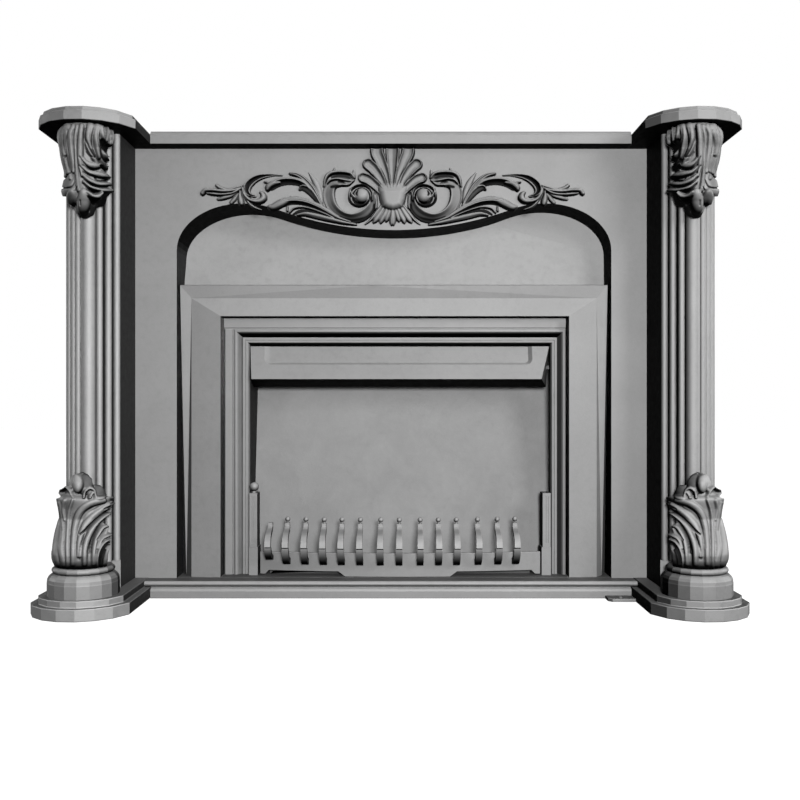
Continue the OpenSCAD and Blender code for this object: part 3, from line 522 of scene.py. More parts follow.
def spray(U, V):
    R = Relief(U, V)
    L = R.limb
    # low tips that fade into the plate
    L([(333, 173, 1.8, 1), (334.4, 168.4, 1.4, .6)], RIB, 7)
    L([(353.4, 176.4, 2.2, 1), (353.8, 170, 1.3, .5)], RIB, 7)
    L([(321.4, 202, 1.8, 1), (318.8, 190, 3.0, 1), (314.4, 180.5, 2.8, .9), (308.8, 172.2, 1.0, .4)], RIB, 6)
    # C scroll: outer rim, hollow band, high inner ridge that runs on into the volute
    L([(368.8, 220.4, 1.0, .7), (374.6, 212.2, 1.5, .9), (376.2, 203.5, 1.4, .8), (375.2, 195, 1.2, .6)], RIB, 12)
    L([(375, 193, 2.6, .8), (373.4, 201, 4.0, .9), (369.8, 209, 5.2, 1), (361.6, 215.8, 5.6, 1.1), (351, 218, 5.0, 1.1), (340.6, 214.6, 5.0, 1),
       (332.6, 207, 5.6, .85), (329, 197.5, 6.2, .7), (329.4, 188.8, 6.0, .7), (334, 183.4, 5.0, .8), (341, 182, 4.2, .9), (347.6, 182.2, 3.6, .85), (352.6, 179.6, 2.0, .7)],
      [(-1, .25), (-.88, .48), (-.74, .22), (-.5, .24), (.1, .55), (.6, .94), (.8, 1), (1, .4)], 16,
      dark=[(-1, .9), (-.9, .2), (-.8, .5), (-.6, .3), (0, .25), (.5, .1), (.7, 0), (1, .2)])
    # painted shade inside the C and under its head
    R.shade_patch([(374.2, 204, 2.0), (373, 210.6, 2.8), (366.4, 217.8, 3.8), (354, 220.8, 3.8), (345.6, 219.2, 2.6), (339.4, 216.4, 1.4)], 1)
    R.shade_patch([(374, 203, 2.2), (373.6, 196, 1.6)], .6)
    R.shade_patch([(331.4, 186.6, 2.4), (336.4, 186.6, 3.2), (342, 187.6, 2.0)], 1)
    # hood over the head of the C
    L([(323.8, 186, 1.3, .7), (325.4, 178.6, 2.0, 1), (328.8, 173.8, 2.4, 1), (335, 171.8, 2.2, 1), (343.6, 171.8, 2.0, 1), (350.6, 173.4, 2.0, 1), (354.2, 177.4, 1.5, .8)], RIB, 14)
    L([(332.6, 176.4, 1.8, .9), (338, 175.2, 2.7, 1), (345, 175.6, 2.8, 1), (351, 178, 1.8, .9)], [(-1, .3), (0, .2), (1, .3)], 9, dark=[(-1, .6), (-.5, .86), (.3, .9), (1, .55)])
    L([(327.4, 183, 1.0, .8), (331, 179.8, 1.5, 1), (337.5, 178.8, 1.6, 1), (345, 180.2, 1.6, 1), (352.6, 181, 1.3, .8)], RIB, 15)
    R.cut([(337.5, 181.6, .5), (341.5, 182.2, 1.1), (345, 183.4, .5)], 5, .8)
    # volute
    L([(372.2, 200, 1.5, 1), (372.6, 193.6, 1.4, 1), (369.6, 187.8, 1.4, 1), (363.6, 184.9, 1.3, 1), (356.8, 185.4, 1.3, 1), (351, 189.4, 1.3, 1), (349.1, 196, 1.3, 1),
       (350.6, 201.6, 1.3, 1), (355.4, 205, 1.3, .95), (361.8, 205.4, 1.2, .95), (366.8, 202.2, 1.2, .9), (368.6, 196.6, 1.1, .85), (366.6, 191, 1.0, .8), (361.8, 188.2, .9, .7)],
      RIB, 15, dark=[(-1, .85), (-.55, .1), (.5, .0), (1, .9)])
    L([(361, 196, 9.4, 1), (361.2, 196, 9.4, 1)], [(-1, .3), (1, .3)], 9, dark=[(-1, 1), (1, 1)], soft=.3)
    L([(350.4, 188, .9, .8), (350.8, 192, 1.3, 1), (353, 196, 1.6, 1), (356.6, 198.6, 1.6, 1)], RIB, 15)
    # the outer ring of the volute is painted black: painted shade on its flanks turned from the light
    R.shade_patch([(352, 188, 1.2), (354.6, 186.2, 2.0), (358, 185.2, 2.3), (363.7, 185.6, 2.3), (369, 189.6, 2.0), (371.4, 195.4, 1.8), (371.4, 201.4, 1.8)], 1)
    R.shade_patch([(347.8, 193.6, 1.0), (349.2, 200, 2.2), (354.6, 205, 2.8), (360.9, 206, 2.8), (366.4, 203.8, 2.0), (368.6, 200.4, 1.2)], 1)
    R.dome(361.3, 195.6, 7.6, 7.4, 7, 19)
    R.cut([(357.6, 190.8, .5), (356.2, 193.6, 1.2), (357, 195.8, .6)], 8)
    # fronds behind the C
    L([(321.6, 205, 1.6, .9), (316.4, 195.6, 2.8, 1), (310.6, 186.6, 3.4, 1), (303.4, 179, 3.0, 1), (296.6, 174.8, 2.4, 1), (290, 173.2, 1.7, .9)],
      [(-1, .25), (-.7, .35), (-.3, .85), (.1, .7), (.5, 1), (.8, .8), (1, .3)], 13, dark=[(-1, .95), (-.6, .8), (-.35, .1), (-.05, .35), (.25, .1), (1, .1)])
    R.shade_patch([(289, 174.8, .9), (296, 178, 1.4), (303, 182, 1.2)], 1)
    L([(320.6, 205.4, 1.4, .9), (315, 197.4, 2.9, 1), (308.6, 190.2, 3.6, 1), (302.4, 187.2, 2.9, 1), (299.8, 188.8, 1.8, .8)],
      [(-1, .25), (-.5, .35), (.1, .55), (.6, 1), (.85, .8), (1, .4)], 13, dark=[(-1, 1), (-.5, .8), (.1, .55), (.5, .25), (.7, 0), (1, .6)])
    # middle scroll: pale above, a deep hollow below with painted shade, rolled end
    L([(311, 191.6, 1.2, .8), (304.4, 184.6, 3.0, 1), (296.6, 181.2, 3.9, 1), (286.6, 180.2, 4.3, 1), (277.6, 182, 4.6, 1), (271.4, 186, 4.0, .9)],
      [(-1, .1), (-.6, .12), (-.15, .3), (.15, .85), (.4, 1), (.55, .74), (.72, .9), (.88, .7), (1, .35)], 15, dark=[(-1, 1), (-.25, 1), (.05, .45), (.25, 0), (.5, 0), (.56, .35), (.64, 0), (1, .1)])
    L([(279.4, 182.6, 1.6, .8), (273.2, 183.4, 3.4, 1), (268.6, 186.4, 3.9, 1), (267.4, 188.8, 2.6, .9)], RIB, 15, dark=[(-1, 1), (-.66, .8), (-.3, .38), (.6, .25), (1, .5)])
    L([(268, 182.4, 1.4, 1), (264.6, 181.6, 1.4, .9)], RIB, 12, dark=[(-1, .6), (0, .3), (1, .3)])
    R.cut([(269, 190.6, .6), (272, 187.6, .8), (276.4, 186, .5)], 6)
    # long lower leaf with a rolled end
    L([(290, 196.2, .8, .8), (299, 197.4, 1.2, 1), (308.6, 201, 1.2, 1), (318, 206.6, 1.0, .9)], RIB, 11, dark=[(-1, .6), (-.5, 0), (1, 0)])
    L([(350, 221.8, 1.2, .9), (338, 218, 2.2, 1), (327.6, 211.8, 3.0, 1), (316, 205.6, 3.4, 1), (303.6, 201.2, 3.8, 1), (292, 200.2, 4.0, 1), (283.6, 201.6, 4.6, 1)],
      [(-1, .12), (-.72, .15), (-.4, .5), (-.1, .95), (.12, .8), (.3, 1), (.5, .78), (.7, .95), (.88, .7), (1, .3)], 14,
      dark=[(-1, 1), (-.6, 1), (-.32, .35), (-.1, 0), (.12, .3), (.3, 0), (.5, .3), (.7, 0), (1, .2)])
    L([(287.4, 200.4, 3.2, .9), (279.6, 203.6, 4.6, 1), (273, 206.8, 3.8, .95), (269.4, 206.6, 2.6, .85)], RIB, 14, dark=[(-1, .85), (-.5, .42), (.2, .3), (.7, .15), (1, .3)])
    R.cut([(285.6, 207.4, .7), (288.8, 204, 1.0), (295, 203.4, .9)], 6)
    # thin frond and the leaf along the arch
    L([(334, 218, .8, .9), (324, 213.2, 1.0, 1), (312, 208.8, 1.2, 1), (302, 206.8, 1.3, 1), (294, 208, 1.4, 1), (289.4, 212.2, 1.3, .9)], RIB, 12, dark=[(-1, 1), (-.4, .2), (1, 0)])
    L([(287.2, 206.2, 1.0, .8), (287, 210.4, 1.4, .9)], RIB, 10, dark=[(-1, .6), (0, 0), (1, .6)])
    L([(334, 219, 1.0, .8), (322, 214.4, 1.4, .8), (308, 210.6, 1.7, .8), (299, 210.8, 1.8, .8), (293, 213.8, 1.2, .7)], [(-1, .5), (1, .5)], 7, dark=[(-1, 1), (1, 1)])
    L([(356, 224.4, 1.1, .8), (344, 222.6, 1.9, .9), (331, 219.6, 2.6, 1), (317, 216.2, 3.0, 1), (305.6, 213.9, 2.5, 1), (297.4, 214.8, 1.4, .8)],
      [(-1, .3), (-.6, .6), (0, .92), (.55, 1), (.85, .8), (1, .4)], 11, dark=[(-1, .5), (-.4, .15), (.4, 0), (1, .3)])
    # left scroll
    L([(282, 174.8, .7, .6), (273, 174.6, 1.2, .8), (263.4, 175.8, 2.3, 1), (255.2, 178.8, 3.4, 1), (248.6, 184.4, 4.0, 1), (246.6, 190.2, 3.6, 1), (249.2, 194.2, 2.2, 1), (254.8, 195.8, 1.2, .9)],
      [(-1, .2), (-.78, .5), (-.5, .55), (-.3, .2), (.2, .18), (.5, .6), (.72, 1), (.88, .8), (1, .35)], 15, dark=[(-1, .2), (-.7, 0), (-.46, .3), (-.3, 1), (.2, 1), (.42, .5), (.66, 0), (1, .1)])
    L([(242, 187, 1.2, .8), (243.6, 193, 1.7, .9), (247.8, 198.6, 2.1, 1), (253.4, 201, 2.4, 1), (259.4, 200.8, 3.2, 1), (263.2, 197.8, 3.8, 1), (262.4, 194, 2.8, .95), (260.2, 192, 1.6, .8)],
      RIB, 15, dark=[(-1, .7), (-.7, .25), (-.3, 0), (.6, .05), (1, .75)])
    R.cut([(258.6, 192.8, .6), (259.8, 195.4, .9), (260, 197.6, .5)], 8)
    R.shade_patch([(249, 195, .8), (253, 197.6, 1.1), (257, 198.2, .8)], .9)
    L([(242, 190, 1.0, .8), (244, 196, 1.1, .9), (248, 202, 1.3, 1), (253.4, 206.6, 1.3, 1), (260.4, 209.3, .8, .8)], RIB, 10, dark=[(-1, .8), (-.5, .1), (.4, 0), (1, .8)])
    # drops under the spray
    L([(240, 191, 1.0, .8), (239.8, 196, 2.4, 1), (240.6, 201, 3.5, 1), (241.2, 203, 2.9, .9)], RIB, 12, dark=[(-1, .9), (-.7, .5), (-.35, 0), (.35, .05), (.75, .6), (1, .9)], tip=(.6, 1.1, .9))
    L([(237.6, 193.6, .9, .7), (234, 198.6, 2.4, .9), (230.8, 202, 2.2, .8)], RIB, 8, dark=[(-1, .4), (0, .15), (1, .6)])
    # fingers
    L([(243, 184.8, .8, .7), (237, 187.2, 1.5, 1), (227, 189.4, 2.0, 1), (220, 187.6, 2.2, 1), (216.4, 185, 1.9, .8)], RIB, 12, dark=[(-1, .8), (-.5, .1), (.7, 0), (1, .1)])
    L([(240, 189.4, .9, .8), (232, 195, 1.7, .9), (223, 197.6, 2.2, .9), (217.6, 198.8, 1.6, .7)], RIB, 9, dark=[(-1, .4), (.4, .2), (1, .8)])
    L([(241, 187.6, .8, .8), (233, 190.4, 1.5, 1), (223, 191, 1.9, 1), (212, 189.8, 2.2, 1), (205, 190, 2.7, 1), (202.2, 192.8, 2.8, .85)], RIB, 13, dark=[(-1, .75), (-.5, .3), (0, .05), (.7, 0), (1, .1)])
    L([(240.4, 188.6, .8, .8), (232, 193.2, 1.4, 1), (222, 194.4, 1.6, 1), (212, 193.8, 1.5, 1), (206.6, 193, 1.0, .8)], RIB, 14, dark=[(-1, .95), (-.55, .3), (0, 0), (.5, 0), (1, .9)])
    return R.grids()


SPOON = [(-1, .35), (-.78, .92), (-.58, .56), (-.2, .44), (.3, .46), (.6, .62), (.76, 1), (1, .35)]
# SPOON_D is the painted shade across a shell lobe, dark at both edges
SPOON_D = [(-1, 1), (-.86, .9), (-.74, .05), (-.5, .1), (0, .08), (.4, .2), (.6, .5), (.7, .1), (.76, .1), (.88, .9), (1, 1)]


def shell(U, V):
    """the left half of the shell; the right half is drawn from the mirrored grid"""
    R = Relief(U, V)
    L = R.limb
    for pts in ([(385, 196, 3.6, 1.1), (377.6, 187.4, 4.4, 1.05), (369, 180, 5.4, 1), (363, 177.4, 5.4, .9)],
                [(388, 194, 2.6, 1.15), (381.4, 180, 4.8, 1.1), (374, 169.4, 5.8, 1), (368.4, 164, 6.2, .9)],
                [(390.4, 193, 2.0, 1.2), (386.2, 176, 4.4, 1.1), (380.6, 161, 6.2, 1), (377.2, 153, 6.9, .9), (376.8, 146, 6.9, .9)]):
        L(pts, SPOON, 17, dark=SPOON_D, tip=(.56, 1.44, 1))
    # painted shade along the grooves between the lobes
    R.shade_patch([(388.6, 188, 1.0), (384.6, 176, .9), (381, 168, .5)], .9)
    R.shade_patch([(385.6, 191, 1.0), (378.4, 181, .9), (373, 174.6, .5)], .9)
    L([(392.5, 192, 1.8, 1.25), (392.5, 174, 4.3, 1.1), (392.5, 160, 6.0, 1), (392.5, 152, 6.9, .9), (392.5, 144, 6.9, .9)],
      [(-1, .6), (-.86, 1), (-.6, .5), (0, .42), (.6, .5), (.86, 1), (1, .6)], 17, dark=[(-1, .8), (-.86, .05), (-.5, .15), (-.05, .1), (.1, .55), (.6, .6), (.86, .1), (1, .8)])
    for pts in ([(382, 205, 1.6, 1), (376, 212.6, 1.9, .9), (370.6, 219.4, 1.5, .8), (365, 224, .8, .6)],
                [(384, 207, 2.2, 1.1), (379.8, 213.6, 3.2, 1), (376, 219, 3.0, .9), (373.6, 222, 1.4, .7)],
                [(387.4, 208, 2.2, 1.2), (384.4, 214.6, 3.2, 1.1), (381.4, 219.8, 2.8, .9), (380.6, 222.6, 1.2, .7)],
                [(390, 208.6, 2.2, 1.2), (388, 214.6, 2.9, 1.1), (386.6, 218.8, 2.5, .9), (386, 221, 1.2, .7)],
                [(392.5, 208, 2.4, 1.3), (392, 216, 3.0, 1.2), (391.6, 221, 2.6, 1), (391.6, 224.4, 1.2, .8)]):
        L(pts, RIB, 11, dark=[(-1, .9), (-.72, .3), (-.3, 0), (.5, .0), (.8, .25), (1, .6)])
    # the bulb: a broad bowl that narrows downwards and runs up into the roots of the lobes
    m = poly_dist(R.U, R.V, [(377.6, 187), (378.2, 194), (379.6, 201), (382, 207.6), (387, 210.2), (392.5, 211.6), (400, 210), (404, 200), (408, 187), (404, 180), (381, 180)])
    f = (5 + 16 * np.sqrt(1 - (1 - np.clip(m / 7.5, 0, 1)) ** 2)) * np.clip((R.V - 179) / 13, 0, 1) ** 0.6
    win = (m > 0) & (f > R.F)
    R.F = np.where(win, f, R.F)
    # the lower edge of the bulb is painted dark: painted shade where it turns under
    R.D = np.where(win, np.where(R.V > 190, np.clip(1 - m / 1.7, 0, 1), 0.0), R.D)
    return R.grids()


def blur(a, sigma):
    n = int(3 * sigma) + 1
    k = np.exp(-0.5 * (np.arange(-n, n + 1) / sigma) ** 2)
    k /= k.sum()
    p = np.pad(a, n, mode="edge")
    p = sum(k[i] * p[i:i + a.shape[0], :] for i in range(2 * n + 1))
    return sum(k[i] * p[:, i:i + a.shape[1]] for i in range(2 * n + 1))


# ---------------------------------------------------------------- leaves on the columns
BASE_R = [(84, 45), (90, 51), (97, 59), (101, 63.5), (105, 67), (114, 69.5), (126, 70), (138, 67.5), (152, 64), (187, 57.5), (200, 54), (221, 56.5),
          (236, 60), (242, 60.5), (245.5, 56), (248, 45), (261, 43), (276, 40), (290, 34), (300, 26)]
BASE_EDGE = [(53, 577), (46, 569), (46, 552), (46, 500), (55.6, 498.8), (61, 496.4), (62.6, 489), (68, 484.8), (70.6, 478), (74, 474), (80, 472.6),
             (88, 474.2), (92.6, 479), (93.6, 485), (101, 485), (105, 490), (107.4, 496), (116.6, 497.2), (116.8, 503), (114.4, 507.6), (112.6, 510),
             (105.4, 519.6), (103.8, 523.2), (106, 523.4), (109.6, 526.2), (106.8, 532.4), (112.4, 532.6), (110.6, 540), (111.6, 543), (108.4, 553),
             (107.4, 566), (102, 577)]
CAP_R = [(822, 12), (828, 20), (836, 26), (846, 30), (858, 35), (868, 41), (878, 48), (886, 50.5), (898, 48), (912, 45), (927, 44.5), (942, 48),
         (958, 50.5), (973, 53), (986, 56.5), (998, 58.5), (1010, 57.5), (1018, 53), (1022.6, 46)]
CAP_EDGE = [(60, 120), (118, 120), (114.4, 133), (114.4, 156.4), (108, 157), (111, 162), (108, 165), (112, 172), (115.4, 180), (114.8, 184.4),
            (118, 187.6), (118, 190), (116.4, 194.8), (108, 196), (105.4, 206.8), (97, 207), (93.6, 215.6), (88, 218), (80, 217.6), (76.8, 212),
            (75.4, 207.8), (69.4, 205.2), (66, 196.4), (56, 196.6), (48, 190), (48, 124)]


def base_leaf(U, V):
    R = Relief(U, V)
    R.F[:] = 0.0
    R.low = -9.0
    L = R.limb
    side = [(-1, .8), (-.65, .1), (0, 0), (.65, .1), (1, .8)]
    L([(57, 568, 3, .6), (55, 552, 3.6, 1), (56.4, 536, 3.2, 1), (59.6, 520, 2.2, .8)], RIB, 5, dark=side)
    L([(63, 566, 2.6, .6), (60.6, 548, 3, 1), (62, 530, 2.8, 1), (60.6, 514, 2.4, 1), (58.4, 503, 2, .8)], RIB, 5, dark=side)
    L([(67.4, 568, 1.8, .7), (67.2, 548, 2, 1), (68, 528, 1.9, 1), (69.4, 512, 1.7, 1), (73, 499, 1.5, .9)], RIB, 6, dark=side)
    L([(64.6, 520, 1.2, .8), (63, 508, 1.8, 1), (64.4, 500, 1.8, .9)], RIB, 5, dark=side)
    L([(72.6, 564, 2.6, .7), (73, 545, 3.2, 1), (75, 526, 3.6, 1), (80, 512, 4, 1), (90, 504, 3.8, 1), (104, 500.6, 3, .9)], RIB, 7, dark=[(-1, .5), (-.6, 0), (.6, 0), (1, .3)])
    L([(79, 556, 2.4, .8), (79.6, 540, 3.2, 1), (84, 527, 3.6, 1), (92, 517.6, 3.6, 1), (104, 508.4, 3, .9), (112, 503.4, 2, .8)], RIB, 7.5, dark=[(-1, .3), (-.6, 0), (.6, 0), (1, .6)])
    for k in range(4):
        R.cut([(74.4 + 1.6 * k, 548 - 4 * k, .3), (76 + 2.2 * k, 530 - 3 * k, .5), (81 + 3 * k, 515 - k, .5), (92 + 3.4 * k, 506 + .4 * k, .3)], 1.6, .28)
    L([(84.6, 564, 2.8, .7), (85, 548, 3.4, 1), (89.4, 534, 3.4, 1), (97, 522.6, 2.6, 1), (107, 513.4, 1.6, .9)], RIB, 9, dark=[(-1, .2), (0, 0), (.7, .1), (1, .7)])
    L([(93.6, 564, 2.4, .7), (94, 550, 2.7, 1), (96.6, 538, 2.6, 1), (101.4, 528.6, 2.4, 1), (107, 525.6, 1.7, .9)], RIB, 8, dark=[(-1, .6), (-.4, 0), (.7, .1), (1, .7)])
    L([(98, 548, 1.8, .9), (101.6, 539.4, 2.2, 1), (107, 536, 2.2, 1), (111.6, 534.6, 1.7, .9)], RIB, 8, dark=[(-1, .2), (.2, .1), (1, .9)])
    R.cut([(79.6, 534.6, .5), (84.6, 530.8, 1.0), (92, 523.2, 1.2), (100, 516.4, 1.2), (107, 512, 1.1), (113, 507.4, .9)], 12)
    R.cut([(90, 554, .4), (91.4, 543, .7), (94, 535, .9), (98.6, 527.4, 1.2), (104, 520.4, 1.5), (109, 515, 1.5), (114, 510.6, .9)], 12)
    R.cut([(96.6, 539.8, .5), (100, 535.6, 1.1), (103.6, 531.6, 1.6), (106.6, 528.4, .9)], 12)
    R.cut([(87.8, 532, .4), (82.6, 541, .6), (79.4, 550, .6), (78.8, 560, .4)], 4, .85)
    R.cut([(103.6, 509, .5), (108, 507.4, .9), (113.6, 505, .8)], 6)
    R.cut([(110, 503.4, .6), (116, 502.2, .8)], 6)
    R.cut([(99.6, 568, 1.2), (100.4, 558, 2.2), (103, 550.6, 3.2), (106.6, 546, 3.4), (110.4, 543.4, 2.2)], 14)
    L([(97.4, 569, 1.0, .8), (97, 558, 1.2, 1), (99, 549.4, 1.3, 1), (104, 542, 1.4, 1), (110.6, 538.8, 1.2, .9)], RIB, 11, dark=[(-1, .8), (0, 0), (1, .9)])
    L([(100.6, 565, .9, .9), (101.6, 556, 1.1, 1), (104.6, 549.6, 1.0, .9)], RIB, 9, dark=[(-1, .9), (0, .1), (1, .9)])
    # painted shade on the hollows and under-turns of the leaf
    R.shade_patch([(101, 569, 4.4), (102, 558, 4.2), (105, 549.6, 3.4)], 1)
    R.shade_patch([(57.6, 501, 2.4), (58.6, 510, 2.6), (61.4, 520, 1.8), (63, 530, 1)], .6)
    R.shade_patch([(111, 499.6, 2.2), (115.4, 500, 2.4)], .85)
    # tips above the collar
    R.dome(99.8, 492.6, 8.0, 8.6, 0, 11)
    # the tops of the tips are painted dark: painted shade on faces turned up, away from the light
    R.D = np.where((R.V < 496.4) & (np.hypot((R.U - 99.8) / 8, (R.V - 492.6) / 8.6) < 1), .72, R.D)
    R.dome(85.4, 484.6, 8.6, 11, 2, 13)
    R.D = np.where((R.V < 487.5) & (np.hypot((R.U - 85.4) / 8.6, (R.V - 484.6) / 11) < 1), .72, R.D)
    L([(61.4, 495.4, 1.8, .9), (63.6, 488.8, 2.2, 1), (67.6, 486.8, 2.0, 1), (71, 490.4, 1.8, 1), (73.4, 496.4, 1.4, .9)], RIB, 13, dark=[(-1, .5), (-.5, 0), (.5, .1), (1, .8)])
    R.shade_patch([(63.6, 491, 1.2), (68, 491.2, 1.5), (71.4, 495.6, 1.1)], .75)
    L([(84, 497, 1.8, .9), (85.2, 491.4, 2.2, 1), (89.4, 488, 2.2, 1), (93.4, 490, 2.1, 1), (95, 495.6, 2, .9)], RIB, 17, dark=[(-1, .5), (-.5, 0), (.5, .1), (1, .7)])
    L([(89.6, 496.8, 2.4, .9), (92, 492.6, 2.2, .9)], RIB, 17)
    R.shade_patch([(83.4, 491, 1.3), (87, 492, 1.2), (88.6, 496, .8)], .5)
    R.dome(78.2, 483, 5.7, 10.4, 12, 26, 2.4, .5)
    R.shade_patch([(72.6, 478, .6), (72, 485, .7), (74.6, 491, .8), (78, 493.6, .8)], .8)
    R.shade_patch([(84, 478, .5), (84, 485, .8), (81.6, 491, .8)], .8)
    # painted shade, darker towards the foot where the leaf turns under
    R.D = np.maximum(R.D, np.clip((R.V - 551) / 17, 0, 1) ** 1.2 * .97)
    return R.grids()


def cap_leaf(U, V):
    R = Relief(U, V)
    R.F[:] = 0.0
    R.low = -9.0
    L = R.limb
    side = [(-1, .7), (-.65, .1), (0, 0), (.65, .1), (1, .7)]
    L([(70, 178, 2.2, .8), (65, 166, 3, 1), (62.4, 152, 3.4, 1), (62.6, 138, 4.2, 1), (67, 127, 4.6, 1)], RIB, 5, dark=side)
    L([(73.6, 172, 1.6, .8), (72, 158, 2.4, 1), (70.6, 146, 2.6, 1), (70, 134, 2.8, 1), (73, 126, 2.6, .9)], RIB, 5.5, dark=side)
    L([(78.6, 190, 2.4, .7), (76.6, 172, 2.2, 1), (75.6, 154, 1.7, 1), (75.2, 138, 1.8, 1), (77, 126, 2.2, .9)], RIB, 6, dark=side)
    L([(82, 176, 1.4, .8), (80.4, 164, 3, 1), (80, 150, 3.8, 1), (80.4, 137, 3.4, 1), (81.6, 126, 3, .9)], RIB, 9, dark=[(-1, .6), (-.6, 0), (.7, 0), (1, .3)])
    L([(98, 166, 1.8, .8), (93, 156, 3, 1), (88.8, 146, 3.6, 1), (88.4, 136, 3.8, 1), (90.6, 126, 4.4, .9)], RIB, 8.5, dark=[(-1, .2), (0, 0), (1, .3)])
    L([(99, 158, 1.8, .8), (97, 146, 3, 1), (96, 136, 3.6, 1), (98, 126, 4.0, .9)], RIB, 8, dark=[(-1, .5), (-.6, 0), (.6, .1), (1, .4)])
    L([(104.6, 144, 1.6, .8), (102.6, 135, 2.4, 1), (101.6, 127, 2.8, .9)], RIB, 8, dark=[(-1, .3), (0, 0), (1, .9)])
    R.cut([(85.8, 128, .5), (84.6, 134, .6), (85.2, 139.4, .7), (88.6, 147, .8), (91.6, 153, .8), (94.6, 157.4, .7)], 5, .9)
    R.cut([(86, 152, .4), (90, 156.4, .6), (94.6, 157.6, .5)], 4, .7)
    for k in range(3):
        R.cut([(90.4 + 3.6 * k, 128, .4), (90 + 3.6 * k, 138, .5), (93 + 3 * k, 148, .4)], 2, .3)
        R.cut([(61 + 3.4 * k, 130, .4), (60.6 + 3.2 * k, 142, .5), (62.6 + 2.8 * k, 154, .4)], 2, .25)
    L([(80, 156, 2.4, .8), (86, 163.6, 3.4, 1), (94, 166, 3.8, 1), (101, 165.4, 2.4, .8)], RIB, 8, dark=[(-1, .3), (0, 0), (1, .7)])
    L([(80.6, 166, 2, .8), (88, 172, 2.8, 1), (98, 174.6, 3.4, 1), (107, 176.6, 2.8, 1), (113.4, 180, 1.4, .8)], RIB, 9, dark=[(-1, .1), (0, 0), (1, .7)])
    L([(83, 175, 2, .8), (89, 180, 2.6, 1), (98, 184, 2.6, 1), (107, 184.2, 2.6, 1), (115, 184, 2.2, .9)], RIB, 10, dark=[(-1, .1), (.4, .1), (1, .8)])
    L([(84, 182, 2, .7), (91, 187.6, 2.2, 1), (100, 190.4, 2.5, 1), (108, 190.8, 2.7, 1), (116.4, 190.6, 2.4, .9)], RIB, 11, dark=[(-1, .1), (.4, .1), (1, .9)])
    R.cut([(79.6, 157, .4), (86, 165.8, .7), (92, 170, .8), (99.6, 169.6, .6)], 5, .85)
    R.cut([(79.6, 166, .5), (88, 174.4, .7), (94, 177, .7), (98.6, 181, .7), (113, 181.4, .7)], 5, .85)
    R.cut([(83, 178, .5), (88, 183, .7), (94, 186, .7), (103, 187.4, .7), (117, 187.6, .8)], 5, .85)
    R.cut([(83.6, 184, .7), (90, 190.4, 1.1), (95, 192.8, .9), (98.6, 191.8, .6)], 6, .85)
    # painted shade in the hollows of the leaf
    R.shade_patch([(91.6, 150, 2.0), (96, 157, 3.6), (102, 164, 3.2), (108, 172, 2), (113.6, 178.8, 1.1)], .8)
    R.shade_patch([(88, 176, 2.4), (94, 184, 1.6)], .25)
    R.cut([(100.6, 166, 1.4), (107, 172.4, 1.5), (113.8, 178.8, 1)], 9)
    L([(106.4, 142, 1.2, .8), (107, 132, 1.4, .9), (107, 126, 1.4, .8)], RIB, 9, dark=[(-1, .9), (0, .2), (1, .9)])
    L([(111, 146, 1.1, .8), (112, 137, 1.3, .9), (111, 130, 1.3, .8)], RIB, 9, dark=[(-1, .9), (0, .3), (1, .9)])
    R.cut([(101.6, 141, 1.8), (104.6, 147, 4.2), (109.6, 151, 5), (112.4, 155.6, 2.6)], 12)
    R.cut([(101.4, 149, 1.4), (103.4, 157, 2.6), (107.4, 163, 2.4)], 10)
    R.cut([(112.4, 182.6, 1), (114, 182.8, 1)], 8)
    R.shade_patch([(63, 156, 4), (66.6, 166, 4.2), (68, 176, 4.4), (66, 186, 4.4)], .5)
    R.shade_patch([(76, 168, 2), (77, 180, 3.4), (82, 188, 3.2)], .42)
    for q in ([(71, 172, .6), (66, 177, .8), (62, 180.8, .9)], [(75, 180, .5), (72, 186, .8), (67, 188, .8), (61, 188, .9)],
              [(77, 187, .6), (74, 191.8, .9), (70.6, 193.4, .9), (66, 195.4, 1)], [(66, 156, 1), (65, 157.4, .8)]):
        R.cut(q, 5, .9)
    # drooping tips under the bell
    R.dome(103.4, 199.6, 6.6, 9, 0, 3)
    # the drooping tips and the hollow under the bell are painted dark: painted shade
    R.D = np.where((R.V > 193.6) & (R.U > 90), 1.0, R.D)
    R.dome(71.4, 197.8, 5.6, 9.4, 2, 12, 2.2, .9)
    R.D = np.where(np.hypot((R.U - 71.4) / 5.6, (R.V - 197.8) / 9.4) < 1, np.maximum(R.D, .3), R.D)
    L([(87, 192.6, 2.4, .9), (92.4, 197.2, 3.6, 1), (97.6, 197.4, 3.8, 1), (101, 193.4, 2, .9)], RIB, 20, dark=[(-1, .9), (-.75, .2), (-.2, 0), (1, .1)])
    R.dome(83.6, 202, 7.4, 13.6, 4, 22, 2.4, 1)
    R.cut([(80.8, 201, .5), (81.2, 206, .5)], 4, .8)
    R.cut([(87.6, 197, .5), (90.6, 201.4, 1.0), (93.6, 204.6, 1.2)], 7)
    # painted shade, darker along the bottom edge where the leaf turns under
    R.D = np.where(R.V > 210.5, np.maximum(R.D, np.clip((R.V - 210.5) / 3, 0, 1)), R.D)
    return R.grids()


def poly_dist(U, V, pts):
    """signed distance to an outline, positive inside"""
    n = len(pts)
    best = np.full(U.shape, 1e9)
    inside = np.zeros(U.shape, bool)
    for i in range(n):
        (x0, y0), (x1, y1) = pts[i], pts[(i + 1) % n]
        dx, dy = x1 - x0, y1 - y0
        t = np.clip(((U - x0) * dx + (V - y0) * dy) / (dx * dx + dy * dy), 0, 1)
        best = np.minimum(best, np.hypot(U - x0 - t * dx, V - y0 - t * dy))
        cross = (y0 > V) != (y1 > V)
        with np.errstate(divide="ignore", invalid="ignore"):
            xi = x0 + (V - y0) * dx / (dy if dy else 1e-9)
        inside ^= cross & (U < xi)
    return np.where(inside, best, -best)


